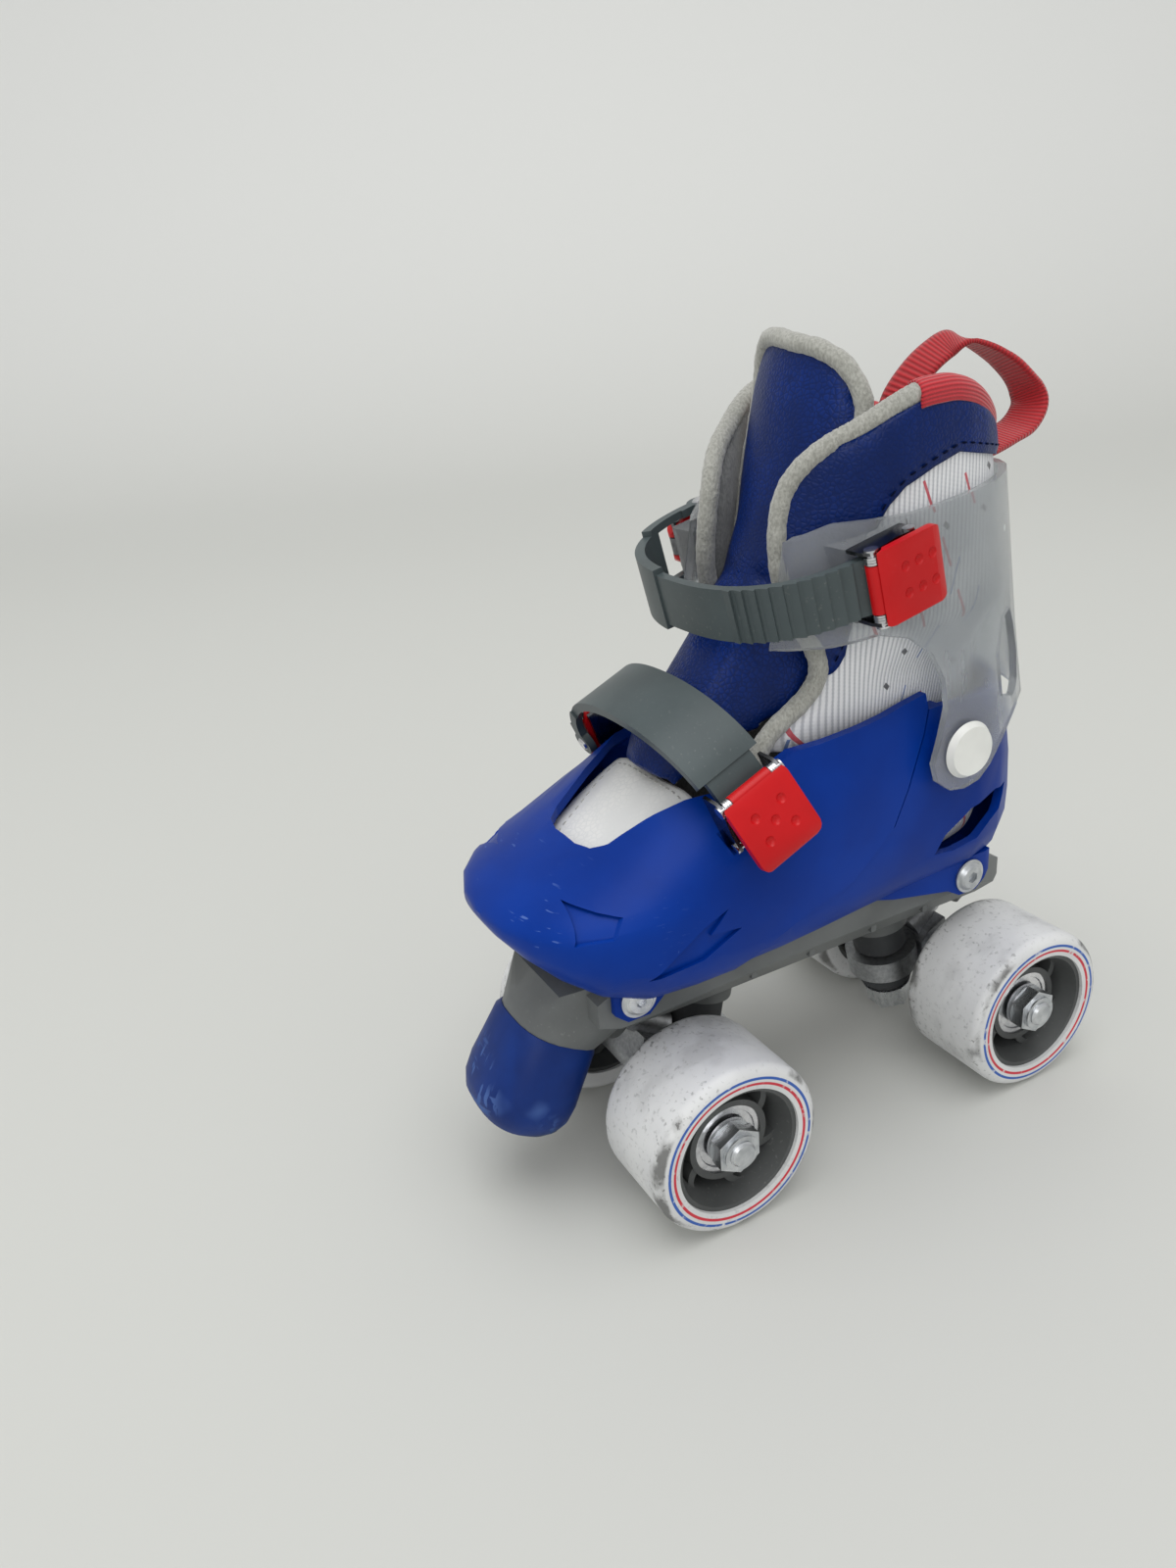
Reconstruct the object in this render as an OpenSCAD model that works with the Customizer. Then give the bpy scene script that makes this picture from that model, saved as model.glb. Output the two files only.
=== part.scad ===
// Size-adjustable quad roller skate: chassis with two steering trucks and four wheels,
// heel cup, sliding toe shell, hinged cuff, two ratchet straps with tightening levers, liner boot.
// Toe along -Y, up along +Z, the ratchet buckles on the +X side, floor at z = 0.

/* [Wheels] */
// Diameter of a wheel
wheel_d = 54; // [53:0.5:55]
// Width of a wheel
wheel_w = 32; // [31:0.5:33]
// Distance between the two axles
wheelbase = 115.6; // [115:0.2:117]
// Distance between the outer faces of a pair of wheels
track = 107; // [106:0.5:110]
// Diameter of the wheel core inside the tyre
core_d = 40; // [39:0.5:41]
// Number of spokes of the wheel core
spokes = 6; // [5:1:7]
// Outer diameter of a ball bearing
bearing_d = 22; // [21:0.5:23]
// Width of a ball bearing
bearing_w = 7; // [6.5:0.5:7]
// Diameter of an axle
axle_d = 8; // [7:0.5:8]

/* [Trucks] */
// Distance of a kingpin from its axle
kingpin_reach = 17.8; // [17:0.2:18.4]
// Diameter of a kingpin
kingpin_d = 8; // [7:0.5:8]
// Lean of a kingpin
kingpin_lean = 12; // [10:1:14]
// Outer diameter of the yoke round a kingpin
yoke_d = 24; // [23:0.5:25]
// Diameter of a rubber cushion
cushion_d = 18; // [17:0.5:19]
// Distance of a pivot ball from its axle
pivot_reach = 10; // [9.5:0.5:10.5]
// Height of a pivot ball above its axle
pivot_rise = 20; // [19.5:0.5:20.5]

/* [Chassis] */
// Height of the top of the chassis
sole_z = 75; // [75:0.5:76]
// Half width of the chassis at the middle
chassis_half = 29; // [28.5:0.5:29.5]
// Half width of the lower edge of the side skirt
skirt_half = 22; // [21.5:0.5:22.5]
// Half width of the chassis at the front bolts
nose_half = 24.5; // [24:0.5:25]
// Height of the lower edge of the side skirt
skirt_z = 56.5; // [56:0.5:57.5]
// Distance of the front bolts ahead of the middle of the wheelbase
front_bolt_y = 72.5; // [71:0.5:73.5]
// Height of the front bolts
front_bolt_z = 69; // [68.5:0.5:69.5]
// Distance of the rear bolts behind the middle of the wheelbase
rear_bolt_y = 46.5; // [45:0.5:48]
// Height of the rear bolts
rear_bolt_z = 71; // [70.5:0.5:71]
// Diameter of the side bolts
bolt_d = 6; // [5:0.5:6]
// Distance of the front of the toe stop ahead of the middle of the wheelbase
stop_reach = 115; // [113:0.5:116]
// Width of the toe stop
stop_w = 37; // [35:0.5:38]

/* [Boot shells] */
// Distance of the toe ahead of the middle of the wheelbase
toe_reach = 106; // [105:0.5:107]
// Distance of the heel behind the middle of the wheelbase
heel_reach = 79; // [78.5:0.5:80]
// Half width of the toe shell at the ball of the foot
ball_half = 43; // [42.5:0.5:43.5]
// Half width of the heel cup
heel_half = 36; // [35.5:0.5:36]
// Height at which the shells are widest
wide_z = 95; // [94:0.5:96]
// Wall of the shells
shell_wall = 2.5; // [2:0.1:2.8]
// Wall of the cuff
cuff_wall = 2.2; // [2:0.1:2.4]
// Distance of the ankle rivets behind the middle of the wheelbase
ankle_y = 34; // [33:0.5:35]
// Height of the ankle rivets
ankle_z = 120; // [119:0.5:121]
// Diameter of an ankle rivet
rivet_d = 8; // [7:0.5:9]
// Travel of the toe shell for the sizes
size_travel = 18; // [15:0.5:18]

/* [Straps] */
// Half width of the cuff, where its buckle sits
cuff_half = 38; // [37.6:0.2:38.4]
// Distance of the toe strap ends from the middle plane
toe_strap_x = 37.5; // [37.2:0.1:37.8]
// Thickness of a strap
strap_t = 2.4; // [2.2:0.1:2.6]
// Width of the toothed strap end
ladder_w = 15; // [14:0.5:16]
// Distance between two strap teeth
tooth_pitch = 3.4; // [3.2:0.1:4]
// Height of a strap tooth
tooth_h = 0.9; // [0.7:0.1:1]
// Forward arch of the cuff strap
cuff_arch = 37; // [36.5:0.5:38]
// Upward arch of the toe strap
toe_arch = 23; // [22.5:0.5:23.5]
// Diameter of the buckle pins
pin_d = 2.8; // [2.6:0.1:2.9]
// Length of a tightening lever
lever_l = 49; // [47:0.5:50]
// Width of a tightening lever
lever_w = 15.6; // [15:0.2:16]

/* [Liner] */
// Thickness of the liner padding
pad_t = 5; // [4.5:0.5:5.5]
// Height of the top of the tongue
tongue_z = 237; // [235:1:238]
// Width of the tongue
tongue_w = 46; // [44:1:47]
// Distance of the pull loop behind the middle of the wheelbase
loop_reach = 93; // [92:0.5:93.5]
// Width of the pull loop webbing
loop_w = 12; // [11:0.5:13]

/* [Clearances] */
// Running clearance of a pin in its bore
run = 0.06; // [0.05:0.01:0.1]
// Seating clearance between pieces of one assembly
seat = 0.02; // [0.01:0.01:0.03]
// Free gap between moving pieces
free = 0.4; // [0.35:0.05:0.5]

/* [Hidden] */
// Middle of the overall length
mid_y = (stop_reach - loop_reach) / 2;
axle_z = wheel_d / 2;
wheel_x = track / 2 - wheel_w / 2;
core_r = core_d / 2;
core_rim = 3.4;
boss_wall = 1.9;
bearing_out = 9;
axle_half = track / 2 + 1.5;
hub_half = wheel_w / 2 - 1.5;
// Direction of the steering axis
pivot_v = [pivot_reach + kingpin_reach, pivot_rise - 2];
steer_tilt = atan2(pivot_v[1], pivot_v[0]);
yoke_t = 8;
yoke_bore = 6.8;
up_cushion = 11;
low_cushion = 7;
washer_t = 1.4;
nut_af = 13;
nut_h = 7;
ball_r = 4.7;
cup_r = 6.2;
plate_t = 3;
flange_t = 2;
head_t = 2;
sole_t = 2.5;
rail_t = 1.6;
rail_half = 12;
lock_y = -8;
// Offsets of the shells from the outer face of the toe shell
heel_in = 0.8;
lap_in = 5.4;
lap_wall = 2;
liner_in = 8;
// Buckle stack above a seat
plate_up = 0.8;
strap_up = 1.6;
path_up = strap_up + strap_t / 2;
cuff_px = cuff_half + path_up;
toe_px = toe_strap_x;
pin_up = 7;
ear_in = ladder_w / 2 + 1.6;
ear_t = 1;
rear_pin = [5.6, 7.2];
flap_lo = 8.2;
flap_t = 2.2;
flap_half = 10.2;
toe_flap_lean = 20;
toe_lever_lean = 16;
pin_y = -6.4;
ladder_end = 8;
// Lever stack above a seat
lever_pin_up = 4.6;
lever_pin_y = -9;
fork_in = lever_w / 2 + 0.5;
fork_t = 2.4;
slot_y = 19;
cuff_tilt = 13;
cuff_o = [0.5, 177];
toe_tilt = 24;
toe_o = [-41, 124];
ring_n = 28;
liner_n = 1.8;
station_n = 18;
liner_stations = 14;

function mix(a, b, t) = a + (b - a) * t;
function clamp(t) = min(1, max(0, t));
function smooth(t) = let (c = clamp(t)) c * c * (3 - 2 * c);
function spow(v, p) = sign(v) * pow(abs(v), p);

// Closed skin through rings of equal point count
module skin(rings) {
  m = len(rings[0]);
  k = len(rings);
  points = [for (r = rings) for (p = r) p];
  sides = [for (i = [0 : k - 2]) for (j = [0 : m - 1])
    let (a = i * m + j, b = i * m + (j + 1) % m) each [[a, b, b + m], [a, b + m, a + m]]];
  first = [for (j = [m - 1 : -1 : 0]) j];
  last = [for (j = [0 : m - 1]) (k - 1) * m + j];
  polyhedron(points, concat(sides, [first], [last]), convexity = 8);
}

// Solid with a side outline in (y, z), as wide as asked
module side(outline, x0, x1) {
  multmatrix([[0, 0, 1, x0], [1, 0, 0, 0], [0, 1, 0, 0], [0, 0, 0, 1]])
    linear_extrude(x1 - x0) polygon(outline);
}

// Solid with a plan outline in (x, y)
module plan(outline, z0, z1) {
  translate([0, 0, z0])
    linear_extrude(z1 - z0) polygon(outline);
}

// Cylinder along X
module along_x(r, x0, x1, fn = 48) {
  translate([x0, 0, 0])
    rotate([0, 90, 0])
      cylinder(r = r, h = x1 - x0, $fn = fn);
}

module tube(ro, ri, h) {
  rotate_extrude($fn = 72)
    translate([ri, 0])
      square([ro - ri, h]);
}

module place() {
  translate([0, mid_y, 0]) children();
}

// Foot form

toe_turn = -62;
heel_turn = 44;
function cap(y) = y < toe_turn
  ? max(0.08, pow(max(0, 1 - pow((toe_turn - y) / (toe_turn + toe_reach), 2.3)), 1 / 2.3))
  : y > heel_turn
  ? max(0.08, sqrt(max(0, 1 - pow((y - heel_turn) / (heel_reach - heel_turn), 2))))
  : 1;
function form_half(y) = mix(ball_half, heel_half, smooth((y + 45) / 80));
function crown_z(y) = min(160, y < -77 ? 110.5 + 0.25 * (y + 77) : 110.5 + 0.65 * (y + 77));
function floor_z(y) = 67 + 17 * pow(max(0, (-70 - y) / (toe_reach - 70)), 2);
function foot_ring(s, d, nu) =
  let (y0 = mix(-toe_reach, heel_reach, s), e = d(y0), c = cap(y0))
  let (w = (form_half(y0) - e) * c)
  let (up = (crown_z(y0) - e - wide_z) * c, down = (wide_z - floor_z(y0) - e) * c)
  let (y = mix(-toe_reach + e, heel_reach - e, s))
  [for (j = [0 : ring_n - 1])
    let (a = 360 * j / ring_n, cs = cos(a), sn = sin(a), q = sn >= 0 ? 2 / nu : 2 / 3.2)
    [w * spow(cs, q), y, wide_z + (sn >= 0 ? up : down) * spow(sn, q)]];
module foot(d, nu = 2.2, n = station_n) {
  skin([for (i = [0 : n])
    foot_ring((1 - cos(180 * i / n)) / 2, d, nu)]);
}

// Leg form

function leg_back(z) = 82.1 - (z - 110) * 0.2;
function leg_front(z) = -22 - (190 - z) * 0.2;
function leg_half(z) = mix(cuff_half + 2, cuff_half, smooth((z - 112) / 45));
function leg_ring(z, d, ahead = 0) =
  let (b = leg_back(z) - d, f = leg_front(z) + d - ahead, w = leg_half(z) - d)
  [for (j = [0 : ring_n - 1])
    let (a = -360 * j / ring_n)
    [w * spow(cos(a), 0.8), (b + f) / 2 + (b - f) / 2 * spow(sin(a), 0.8), z]];
module leg(z0, z1, d, n = 6) {
  skin([for (i = [0 : n]) leg_ring(mix(z0, z1, i / n), d)]);
}

// Slab between two heights, wider and longer than the skate
module slab(z0, z1) {
  translate([0, 0, z0])
    linear_extrude(z1 - z0) square([2 * track, 4 * stop_reach], center = true);
}

// Padded shaft inside the cuff, drawn in above the heel cup and drawn out to the tongue
shaft_in = 13.5;
shaft_ahead = 26;
shaft_z = 137;
module leg_pad(z0, z1, d) {
  skin([for (i = [0 : 6])
    let (z = mix(z0, z1, i / 6), k = smooth((z - shaft_z) / 20))
    leg_ring(z, mix(shaft_in, cuff_wall + 1, k) + d, mix(shaft_ahead, 0, k))]);
}

// Wheels

module wheel_place(end, sd) {
  place()
    translate([sd * wheel_x, end * wheelbase / 2, axle_z])
      rotate([0, sd * 90, 0])
        children();
}

module tyre() {
  r = wheel_d / 2;
  h = wheel_w / 2;
  e = 3.6;
  arc = [for (i = [0 : 5]) [r - e + e * cos(18 * i), h - e + e * sin(18 * i)]];
  back = [for (i = [5 : -1 : 0]) [r - e + e * cos(18 * i), -h + e - e * sin(18 * i)]];
  color("White")
    rotate_extrude($fn = 96)
      polygon(concat(arc, [[core_r, h - 0.4], [core_r, -h + 0.4]], back));
}

module hub() {
  inner = bearing_d / 2 + boss_wall;
  outer = core_r - core_rim;
  color("DimGray") {
    rotate_extrude($fn = 96)
      polygon([[core_r - seat, -hub_half], [core_r - seat, hub_half], [core_r - 1.4, hub_half],
        [outer, hub_half - 6], [outer, -hub_half + 6], [core_r - 1.4, -hub_half]]);
    difference() {
      union() {
        translate([0, 0, -bearing_out - 0.6])
          tube(inner, bearing_d / 2 + seat, 2 * bearing_out + 1.2);
        for (i = [0 : spokes - 1])
          rotate(360 / spokes * i)
            translate([0, 0, -bearing_out])
              linear_extrude(2 * bearing_out)
                spoke(inner - 0.4, outer + 0.3);
      }
      cylinder(r = bearing_d / 2 + seat, h = wheel_w, center = true, $fn = 72);
    }
    difference() {
      cylinder(r = inner - 0.2, h = 2, center = true, $fn = 72);
      cylinder(r = axle_d / 2 + 3, h = 3, center = true, $fn = 48);
    }
  }
}

// Curved spoke between two radii
module spoke(r0, r1) {
  intersection() {
    difference() {
      circle(r = r1, $fn = 72);
      circle(r = r0, $fn = 72);
    }
    translate([r0 - 1.6, 4.4])
      difference() {
        circle(r = 6.4, $fn = 48);
        translate([0.6, 1]) circle(r = 4.6, $fn = 48);
        translate([-8, 0]) square([16, 10]);
      }
  }
}

module bearings() {
  ro = bearing_d / 2;
  ri = axle_d / 2 + run;
  color("Silver")
    for (m = [0, 1])
      mirror([0, 0, m])
        translate([0, 0, bearing_out - bearing_w])
          rotate_extrude($fn = 72)
            polygon([[ri, 0], [ro, 0], [ro, bearing_w], [ro - 1.6, bearing_w],
              [ro - 1.9, bearing_w - 0.5], [ri + 2, bearing_w - 0.5],
              [ri + 1.8, bearing_w], [ri, bearing_w]]);
}

// Trucks, drawn for the rear end and mirrored for the front

module truck_end(end) {
  place()
    mirror([0, end < 0 ? 1 : 0, 0])
      translate([0, wheelbase / 2, axle_z])
        children();
}

// Frame of a kingpin, its z axis up along the pin from the middle of the yoke
module kingpin_frame() {
  translate([0, -kingpin_reach, 2])
    rotate([kingpin_lean, 0, 0])
      children();
}

// Frame of the steering axis, its z axis towards the pivot ball
module steer_frame() {
  translate([0, -kingpin_reach, 2])
    rotate([steer_tilt - 90, 0, 0])
      children();
}

module truck() {
  reach = wheel_x - bearing_out - free;
  l = norm(pivot_v);
  color("Gray")
    difference() {
      union() {
        along_x(6.2, -reach, reach);
        along_x(7, -wheel_x + wheel_w / 2 + 2.5, wheel_x - wheel_w / 2 - 2.5);
        kingpin_frame()
          cylinder(r = yoke_d / 2, h = yoke_t, center = true, $fn = 72);
        side([[-kingpin_reach + 11, -3.6], [4, -7], [6.5, 0], [3.5, 12.5], [-4, 9],
          [-kingpin_reach + 11, 5.6]], -8, 8);
        steer_frame()
          translate([0, 0, l - 20]) cylinder(r1 = 5.6, r2 = 3.4, h = 18, $fn = 48);
        steer_frame()
          translate([0, 0, l]) sphere(r = ball_r, $fn = 48);
      }
      along_x(axle_d / 2 + seat, -axle_half, axle_half);
      kingpin_frame()
        cylinder(r = yoke_bore, h = 3 * yoke_t, center = true, $fn = 72);
    }
}

module axle() {
  color("Silver")
    union() {
      along_x(axle_d / 2, -axle_half + 0.8, axle_half - 0.8);
      for (m = [0, 1])
        mirror([m, 0, 0])
          translate([axle_half - 0.8, 0, 0])
            rotate([0, 90, 0])
              cylinder(r1 = axle_d / 2, r2 = axle_d / 2 - 0.7, h = 0.8, $fn = 48);
    }
}

module axle_nuts() {
  face = wheel_x + bearing_out + free;
  color("Silver")
    for (m = [0, 1])
      mirror([m, 0, 0])
        difference() {
          union() {
            along_x(7.2, face, face + 1.5);
            translate([face + 1.4, 0, 0])
              rotate([0, 90, 0])
                cylinder(d = nut_af / cos(30), h = 4.4, $fn = 6);
            along_x(5.6, face + 5.7, face + 7);
          }
          along_x(axle_d / 2 + seat, face - 1, face + 9);
        }
}

module kingpin() {
  low = yoke_t / 2 + free + low_cushion + washer_t + nut_h + 1.5;
  high = yoke_t / 2 + free + up_cushion + 16;
  color("Silver")
    kingpin_frame() {
      translate([0, 0, -low]) cylinder(r = kingpin_d / 2, h = low + high, $fn = 48);
      translate([0, 0, high - 4]) cylinder(d = nut_af / cos(30), h = 4, $fn = 6);
    }
}

module kingpin_nut() {
  top = -yoke_t / 2 - free - low_cushion;
  color("Silver")
    kingpin_frame()
      difference() {
        union() {
          translate([0, 0, top - washer_t])
            cylinder(r1 = cushion_d / 2 - 2, r2 = cushion_d / 2 - 0.6, h = washer_t, $fn = 72);
          translate([0, 0, top - washer_t - nut_h])
            cylinder(d = nut_af / cos(30), h = nut_h + 0.1, $fn = 6);
        }
        translate([0, 0, top - 20]) cylinder(r = kingpin_d / 2 + seat, h = 30, $fn = 48);
      }
}

module cushions() {
  color("LightGray")
    kingpin_frame()
      difference() {
        union() {
          translate([0, 0, yoke_t / 2 + free])
            rotate_extrude($fn = 72)
              polygon([[0, 0], [cushion_d / 2 - 0.8, 0], [cushion_d / 2, 1],
                [cushion_d / 2, up_cushion - 1], [cushion_d / 2 - 0.8, up_cushion],
                [0, up_cushion]]);
          translate([0, 0, -yoke_t / 2 - free - low_cushion])
            rotate_extrude($fn = 72)
              polygon([[0, 0], [cushion_d / 2 - 1.4, 0], [cushion_d / 2, 2],
                [cushion_d / 2, low_cushion - 1], [cushion_d / 2 - 0.8, low_cushion],
                [0, low_cushion]]);
        }
        cylinder(r = kingpin_d / 2 + seat, h = 80, center = true, $fn = 48);
      }
}

module pivot_cup() {
  color("DarkSlateGray")
    steer_frame()
      translate([0, 0, norm(pivot_v)])
        difference() {
          translate([0, 0, -1.5]) cylinder(r = cup_r, h = 7, $fn = 48);
          sphere(r = ball_r + free, $fn = 48);
          translate([0, 0, -4]) cylinder(r = ball_r + free, h = 4, $fn = 48);
        }
}

// Chassis

flat_front = 8.5 - front_bolt_y;
flat_rear = rear_bolt_y + 7;
function half_at(y) = y < -30 ? mix(nose_half, chassis_half, clamp((y - flat_front) / (-30 - flat_front)))
  : mix(chassis_half, chassis_half - 5, clamp((y - flat_rear) / 14));
chassis_ends = [-84, 67];
function outline(d, y0, y1) =
  let (ys = concat([y0], [for (y = [flat_front, -30, flat_rear]) if (y > y0 && y < y1) y], [y1]))
  concat([for (y = ys) [half_at(y) + d, y]],
    [for (i = [len(ys) - 1 : -1 : 0]) [-half_at(ys[i]) - d, ys[i]]]);
stop_axis = 31;
// Room that the toe stop leaves in front of the front pivot, and half of its length
stop_behind = 10.5;
stop_slope = 11.33;
stop_long = stop_reach - wheelbase / 2 - pivot_reach - stop_behind;
stop_half = (stop_long - stop_slope) / (2 * cos(stop_axis));
stop_nose = 14.32;
stop_z = 53;

module toe_stop_frame() {
  translate([0, -stop_reach + stop_half * cos(stop_axis) + stop_nose, stop_z])
    rotate([-stop_axis, 0, 0])
      children();
}

module chassis() {
  color("Gray")
    place()
      difference() {
        union() {
          difference() {
            intersection() {
              plan(outline(0, chassis_ends[0], chassis_ends[1]), skirt_z, sole_z);
              skirt_section(0, -90, 90);
              side([[-84, 69.5], [-72, sole_z], [54, sole_z], [67, 68], [67, 62], [60, skirt_z],
                [-60, skirt_z], [-76, 59], [-84, 62]], -40, 40);
            }
            intersection() {
              skirt_section(2.6, -64, 58);
              plan(outline(-2.6, -66, 62), 0, sole_z - plate_t);
            }
          }
          neck();
          for (m = [0, 1])
            mirror([0, m, 0])
              translate([0, wheelbase / 2, axle_z]) bosses();
          for (y = [-33, -12, 12, 33])
            translate([-half_at(y) + 2, y - 1, skirt_z + 4])
              cube([2 * half_at(y) - 4, 2, sole_z - skirt_z - 5]);
          for (y = [-front_bolt_y, rear_bolt_y])
            for (m = [0, 1])
              mirror([m, 0, 0])
                translate([0, y, y < 0 ? front_bolt_z : rear_bolt_z])
                  intersection() {
                    along_x(bolt_d / 2 + 3, half_at(y) - 10, half_at(y) - 0.5);
                    translate([0, -20, -20]) cube([60, 40, 20 + sole_z - rear_bolt_z]);
                  }
        }
        for (m = [0, 1])
          mirror([0, m, 0])
            translate([0, wheelbase / 2, axle_z]) {
              kingpin_frame() cylinder(r = kingpin_d / 2 + seat, h = 80, $fn = 48);
              kingpin_frame()
                translate([0, 0, yoke_t / 2 + free + up_cushion + 12 - seat])
                  cylinder(d = nut_af / cos(30) + 0.6, h = 30, $fn = 6);
              steer_frame()
                translate([0, 0, norm(pivot_v) - 12]) cylinder(r = cup_r + seat, h = 17.5 + seat, $fn = 48);
            }
        bolt_holes(30);
        toe_stop_frame()
          translate([0, 0, -20]) cylinder(r = 3 + seat, h = 30, $fn = 32);
        translate([0, lock_y, sole_z - plate_t - 12]) cylinder(r = 6 + run, h = 30, $fn = 48);
      }
}

// Two-facet section of the side skirt, thinner by an inset
module skirt_section(inset, y0, y1) {
  knee = 65;
  w = chassis_half - inset;
  v = skirt_half - 1.25 * inset;
  translate([0, y1, 0])
    rotate([90, 0, 0])
      linear_extrude(y1 - y0)
        polygon([[-w, sole_z], [-w, knee], [-v, skirt_z - inset], [v, skirt_z - inset], [w, knee],
          [w, sole_z]]);
}

// Neck that carries the toe stop
module neck() {
  hull() {
    toe_stop_frame()
      translate([0, 0, -1.2])
        linear_extrude(4) polygon(oval(stop_w / 2 - 2.6, stop_half - 1.2, 24));
    translate([-19, -80, 60]) cube([38, 14, 12]);
    translate([-15, -91, 64]) cube([30, 10, 6]);
  }
}
function oval(a, b, n) = [for (i = [0 : n - 1])
  let (u = 360 * i / n) [a * spow(cos(u), 0.75), b * spow(sin(u), 0.75)]];

// Boss of a kingpin and of a pivot, drawn about the rear axle
module bosses() {
  top = sole_z - axle_z - 1;
  intersection() {
    union() {
      kingpin_frame()
        translate([0, 0, yoke_t / 2 + free + up_cushion])
          cylinder(r = 11, h = 40, $fn = 72);
      steer_frame()
        translate([0, 0, norm(pivot_v) - 1.5]) cylinder(r = cup_r + 1.5, h = 8.7, $fn = 48);
      translate([-6, pivot_reach - 5, pivot_rise + 4]) cube([12, 9, 20]);
      translate([-2, -kingpin_reach, 30]) cube([4, kingpin_reach + pivot_reach, 20]);
    }
    translate([-30, -40, 0]) cube([60, 80, top]);
  }
}

module bolt_holes(len) {
  for (m = [0, 1])
    mirror([m, 0, 0]) {
      translate([0, -front_bolt_y, front_bolt_z])
        along_x(bolt_d / 2 + seat, half_at(-front_bolt_y) - 8, half_at(-front_bolt_y) + len);
      translate([0, rear_bolt_y, rear_bolt_z])
        along_x(bolt_d / 2 + seat, half_at(rear_bolt_y) - 8, half_at(rear_bolt_y) + len);
    }
}

module base_bolts() {
  color("Silver")
    place()
      for (y = [-front_bolt_y, rear_bolt_y])
        for (m = [0, 1])
          mirror([m, 0, 0])
            translate([half_at(y) + flange_t + 0.3, y, y < 0 ? front_bolt_z : rear_bolt_z])
              difference() {
                union() {
                  along_x(bolt_d / 2, -9, 0.2);
                  along_x(bolt_d / 2 + 2.6, seat, 0.7);
                  rotate([0, 90, 0])
                    translate([0, 0, 0.6])
                      cylinder(r1 = bolt_d / 2 + 1.9, r2 = bolt_d / 2 + 0.6, h = head_t - 0.6, $fn = 48);
                }
                translate([0.7, 0, 0])
                  rotate([0, 90, 0])
                    cylinder(r = 1.9, h = 5, $fn = 6);
              }
}

// Half width, half length and height of the toe stop at its rings
// Rings of the stop: insets of its half width and half length, height
stop_rings = [[2.6, 1.8, -1.22], [1.6, 0.8, -3], [0.8, 0.4, -12], [0, 0, -20], [0.6, 0.2, -25],
  [2.6, 1.6, -29], [5, 4.2, -31.5]];

module toe_stop() {
  color("RoyalBlue")
    place()
      toe_stop_frame()
        difference() {
          skin([for (r = stop_rings)
            let (n = 32)
            [for (p = oval(stop_w / 2 - r[0], stop_half - r[1], n)) [p[0], p[1] - 0.9, r[2]]]]);
          translate([0, 0, -40]) cylinder(r = 3 + seat, h = 60, $fn = 32);
          translate([0, 0, -60]) cylinder(r = 5.4, h = 40, $fn = 32);
        }
}

module toe_stop_bolt() {
  color("Silver")
    place()
      toe_stop_frame()
        union() {
          translate([0, 0, -20]) cylinder(r = 3, h = 29, $fn = 32);
          translate([0, 0, -23]) cylinder(r = 5, h = 3, $fn = 32);
        }
}

// Shells

seam = [[60, 240], [30, 240], [27, 132], [18.5, 117], [9, 101], [-7, 90], [-30, 85], [-42, 79],
  [-50, 71], [-52, 40], [60, 40]];

// Everything behind the rear edge of the toe shell, moved back by a gap
module behind_seam(gap) {
  translate([0, gap, 0]) side(concat(seam, [[90, 40], [90, 240]]), -60, 60);
}

module flange_bars() {
  top = sole_z + sole_t;
  intersection() {
    difference() {
      plan(outline(flange_t + 0.3, -80, 58), 55, top);
      plan(outline(0.3, -81, 59), 54, sole_z);
    }
    side([[-80, top], [-80, 66], [-76, 62.5], [-69, 62.5], [-60, 70.5], [-34, 71.5], [-12, 73],
      [-2, 75.5], [6, 75.5], [16, 72.5], [38, 68], [43, 65], [50, 65], [56, 70],
      [56, top]], -40, 40);
  }
}

module base_shell() {
  color("RoyalBlue")
    place()
      difference() {
        union() {
          difference() {
            union() {
              intersection() {
                foot(function (y) lap_in);
                side([[-74, 40], [-72, 74], [-54, 88], [-30, 92], [-14, 103], [-4, 118], [4, 124],
                  [90, 126], [90, 40]], -60, 60);
              }
              intersection() {
                foot(function (y) heel_in);
                behind_seam(1.6);
              }
            }
            foot(function (y) lap_in + lap_wall);
            intersection() {
              foot(function (y) heel_in + shell_wall);
              behind_seam(7);
            }
            rim_cut();
            slab(0, sole_z);
          }
          plan(outline(1, -79, 55), sole_z, sole_z + sole_t);
          flange_bars();
          for (m = [0, 1])
            mirror([m, 0, 0])
              translate([0, ankle_y, ankle_z])
                along_x(rivet_d / 2 + 4, heel_half - 6, heel_half - 0.7);
        }
        for (m = [0, 1])
          mirror([m, 0, 0])
            translate([0, ankle_y, ankle_z]) along_x(rivet_d / 2 + seat, 20, 60);
        vent();
        leg_pad(122, 141, -0.6);
        bolt_holes(20);
        translate([0, lock_y, sole_z - 1]) cylinder(r = 3.2, h = 9, $fn = 32);
        intersection() {
          plan(outline(-2.4, -81, 66), sole_z - 5, sole_z - seat);
          slab(0, 200);
        }
      }
}

// Opening in the side of the heel cup
module vent() {
  side([[28, 85.5], [36, 84.5], [46, 86], [57, 92], [62, 98.5], [54, 99.5], [42, 97], [32, 91]], -60, 60);
}

// Room above the rim of the heel cup, higher at the back
module rim_cut() {
  side([[-60, 128], [10, 128], [26, 131], [60, 131], [90, 136], [90, 220], [-60, 220]], -60, 60);
}

toe_rim = [[-48, 129], [-40, 127.5], [-30, 127.5], [-22, 131], [10, 133.5], [28, 136], [40, 138],
  [40, 220], [-48, 220]];

// Opening over the instep, in plan
module instep() {
  plan([[0, -77.5], [6, -77.5], [12, -76], [15.5, -72], [19, -62], [23.5, -52], [27.5, -45],
    [31, -38], [34, -30], [-34, -30], [-31, -38], [-27.5, -45], [-23.5, -52], [-19, -62],
    [-15.5, -72], [-12, -76], [-6, -77.5]], wide_z, 220);
}

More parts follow.
